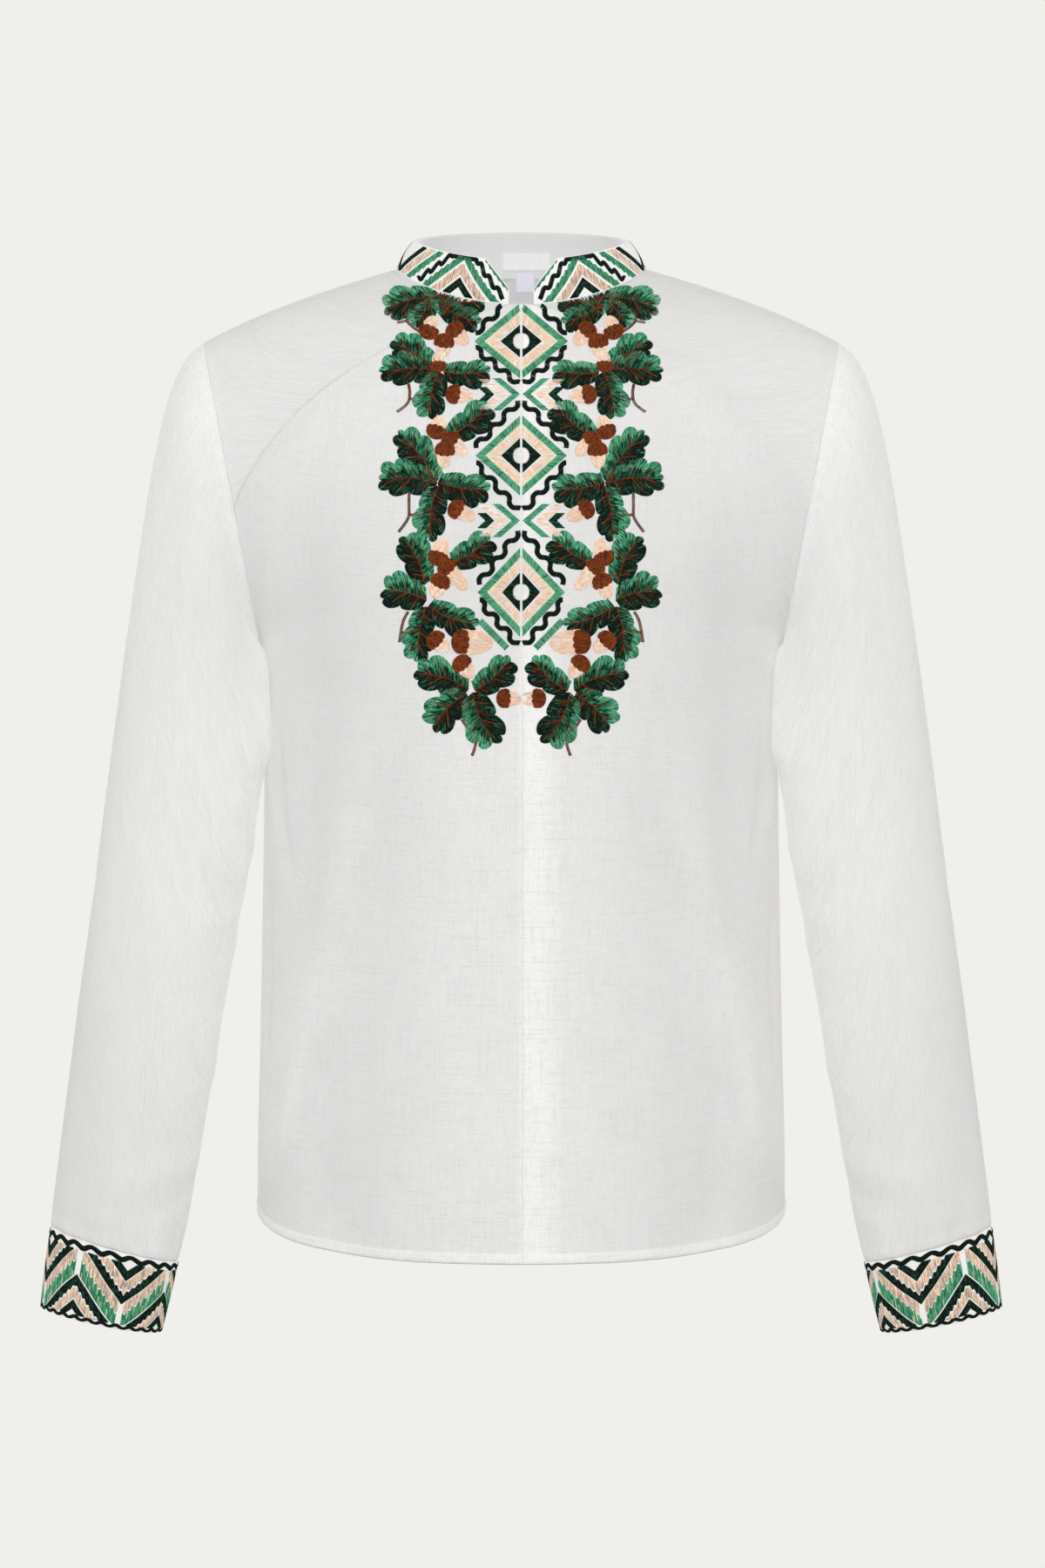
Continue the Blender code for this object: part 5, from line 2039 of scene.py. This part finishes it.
    def border(self, end: float) -> ZigzagBand:
        """The border with a peak at the nape, for the way from the throat to it in millimetres."""
        half = (end - self.first_peak) / 3
        middle = 3.4 - 0.585 * (end - self.first_peak) / 12
        return ZigzagBand(9.5, end, self.first_peak, half, -0.4, 40.0, 1.17, self.stripes, middle)

    def nape(self, x: Array, rise: Array) -> Array:
        """Points inside the back of the collar, just clear of its inner face."""
        degrees = 180 - np.degrees(np.arcsin(x / self.form.neck_seam[0]))
        inside = 0.0022 + self.gap
        return self.surface(degrees, rise) - self.frame_at(degrees, rise) * inside

    def ribbon(
        self, node: str, points: Array, colour: tuple, rests_on: str, lots: Sequence[dict] = ()
    ) -> None:
        """Args:
            node: The model's node that it stands for.
            points: The grid of its outer face.
            colour: Its colour.
            rests_on: What it is sewn to.
            lots: The laid stitches that hold it.
        """
        panel = Panel(points, woven(points), np.zeros(points.shape[:2]))
        piece = sew(f"{node}_satin", [panel], self.label)
        sewn = [self.shop.stitching(f"{node}_stitching", node, lots)] if lots else []
        finish = LabelSatin(f"{node}_satin", colour).material()
        self.shop.dress(piece, finish, [node], [panel], [rests_on], sewn)

    def labels(self) -> None:
        """Builds the neck label and the tab under it."""
        across, up = np.linspace(self.label_x[1], self.label_x[0], 30), np.linspace(*self.label_rise, 12)
        x, rise = np.meshgrid(across, up)
        points = self.nape(x, rise) + np.array((0.0, -0.00025, 0.0)) * np.sin(x * 420)[..., None]
        edge, out = points[[0, -1]][:, 1:-1], np.array((0.0, -1.0, 0.3))
        lots = [running_stitch(edge[row] + np.array((0, -0.001, 0)), out, 0.0022) for row in (0, 1)]
        self.ribbon("neck_label", points, (0.8, 0.79, 0.79, 1.0), "collar", lots)
        x, part = np.meshgrid(np.linspace(self.tab_x[1], self.tab_x[0], 14), np.linspace(0, 1, 16))
        head = self.nape(x, np.full(x.shape, self.label_rise[0] - 0.025))
        down = self.tab_length * (1 - part)
        points = head - np.stack([np.zeros_like(down), 0.04 * down, down], axis=-1)
        points[..., 1] -= 0.0003 * np.sin(part * math.pi * 1.5)
        self.ribbon("size_tab", points, (0.7, 0.68, 0.78, 1.0), "neck_label")


# ---- studio ----
@dataclass
class Studio:
    """A plain pale floor, soft lamps before and behind, and the camera."""

    ground: tuple = (0.871, 0.863, 0.831, 1.0)
    ambient: float = 0.57
    key: float = 41.0
    back: float = 130.0
    high: float = 26.0
    fill: float = 34.0
    side: float = 26.0
    floor_z: float = -0.98
    camera_at: tuple = (0.0009, -3.6, -0.364)
    lens: float = 115.2

    def build(self) -> None:
        """Sets up everything around the shirt."""
        scene = bpy.context.scene
        scene.view_settings.view_transform = "Standard"
        self.sky()
        self.floor()
        self.lamp("key_lamp", (0.0, -4.6, 0.5), (math.radians(80), 0, 0), (4.0, 2.6), self.key)
        self.lamp("back_lamp", (0.0, 4.6, 0.5), (math.radians(80), 0, math.pi), (4.0, 2.6), self.back)
        self.lamp("high_lamp", (0.0, -2.6, 2.6), (math.radians(45), 0, 0), (3.0, 2.0), self.high)
        for hand in Hand:
            side = hand.name.lower()
            pair = (("fill", 3.4, -2.9, 50, self.fill), ("side", 4.3, -1.15, 75, self.side))
            for kind, x, y, turn, power in pair:
                aim = (math.radians(86), 0, hand.value * math.radians(turn))
                self.lamp(f"{kind}_lamp_{side}", (hand.value * x, y, 0.0), aim, (2.0, 2.4), power)
        camera = bpy.data.objects.new("camera", bpy.data.cameras.new("camera"))
        scene.collection.objects.link(camera)
        camera.location, camera.rotation_euler = self.camera_at, (math.pi / 2, 0.0, 0.0)
        camera.data.lens, camera.data.sensor_width = self.lens, 36.0
        scene.camera = camera

    def split_light(self, pen: Pen, seen: tuple, given: float, kind: str) -> Socket:
        """Mixes what the camera sees with what lights the shirt.

        Args:
            pen: Where to draw.
            seen: The colour that shows.
            given: The strength of the light given.
            kind: The shader node's type name.

        Returns:
            The mixed shader.
        """
        path = pen.add("ShaderNodeLightPath").outputs["Is Camera Ray"]
        shown = pen.add(kind, {"Color": seen, "Strength": 1.0})
        light = pen.add(kind, {"Color": (1.0, 0.995, 0.985, 1.0), "Strength": given})
        return pen.add("ShaderNodeMixShader", {0: path, 1: light.outputs[0], 2: shown.outputs[0]}).outputs[0]

    def sky(self) -> None:
        """Sets the even light from all round."""
        world = bpy.data.worlds.new("studio")
        bpy.context.scene.world = world
        world.use_nodes = True
        pen = Pen(world.node_tree)
        mixed = self.split_light(pen, self.ground, self.ambient, "ShaderNodeBackground")
        world.node_tree.links.new(mixed, world.node_tree.nodes["World Output"].inputs["Surface"])

    def floor(self) -> None:
        """Builds the floor, a wide sheet well under the hem."""
        data = bpy.data.meshes.new("studio_floor")
        reach = 14.0
        corners = [(-reach, -reach), (reach, -reach), (reach, reach), (-reach, reach)]
        data.from_pydata([(x, y, self.floor_z) for x, y in corners], [], [(0, 1, 2, 3)])
        made = new_object("studio_floor", data)
        finish = bpy.data.materials.new("studio_floor_paper")
        finish.use_nodes = True
        finish.node_tree.nodes.clear()
        pen = Pen(finish.node_tree)
        output = pen.add("ShaderNodeOutputMaterial")
        mixed = self.split_light(pen, self.ground, self.ambient * 0.9, "ShaderNodeEmission")
        finish.node_tree.links.new(mixed, output.inputs["Surface"])
        data.materials.append(finish)

    def lamp(self, name: str, place: tuple, turn: tuple, size: tuple, power: float) -> None:
        """Hangs one oblong soft lamp that casts no shadow.

        Args:
            name: Its name.
            place: Where it hangs.
            turn: How it is turned.
            size: Its width and height.
            power: Its power in watts.
        """
        data = bpy.data.lights.new(name, "AREA")
        data.shape = "RECTANGLE"
        data.energy, data.size, data.size_y, data.use_shadow = power, *size, False
        made = bpy.data.objects.new(name, data)
        made.location, made.rotation_euler = place, turn
        bpy.context.scene.collection.objects.link(made)


def main() -> None:
    """Builds the studio and then every part of the shirt."""
    logging.basicConfig(level=logging.INFO, format="%(message)s")
    Studio().build()
    weave = linen_weave_group()
    linen = Linen().material(weave)
    # A darker copy of the same linen for the trunk: painted shade.
    shaded_body_linen = Linen("shaded_body_linen", (0.7, 0.697, 0.694, 1.0), (0.625, 0.619, 0.619, 1.0)).material(weave)
    band_linen = Linen("band_linen", (0.8, 0.796, 0.79, 1.0), slubs=0.6, relief=0.00007).material(weave)
    shop = Workshop(linen, shaded_body_linen, band_linen, ThreadMaker(Floss().material()))
    Body(shop).build()
    for hand in Hand:
        Sleeve(shop, hand).build()
        Cuff(shop, hand).build()
    Collar(shop).build()


if __name__ == "__main__":
    main()
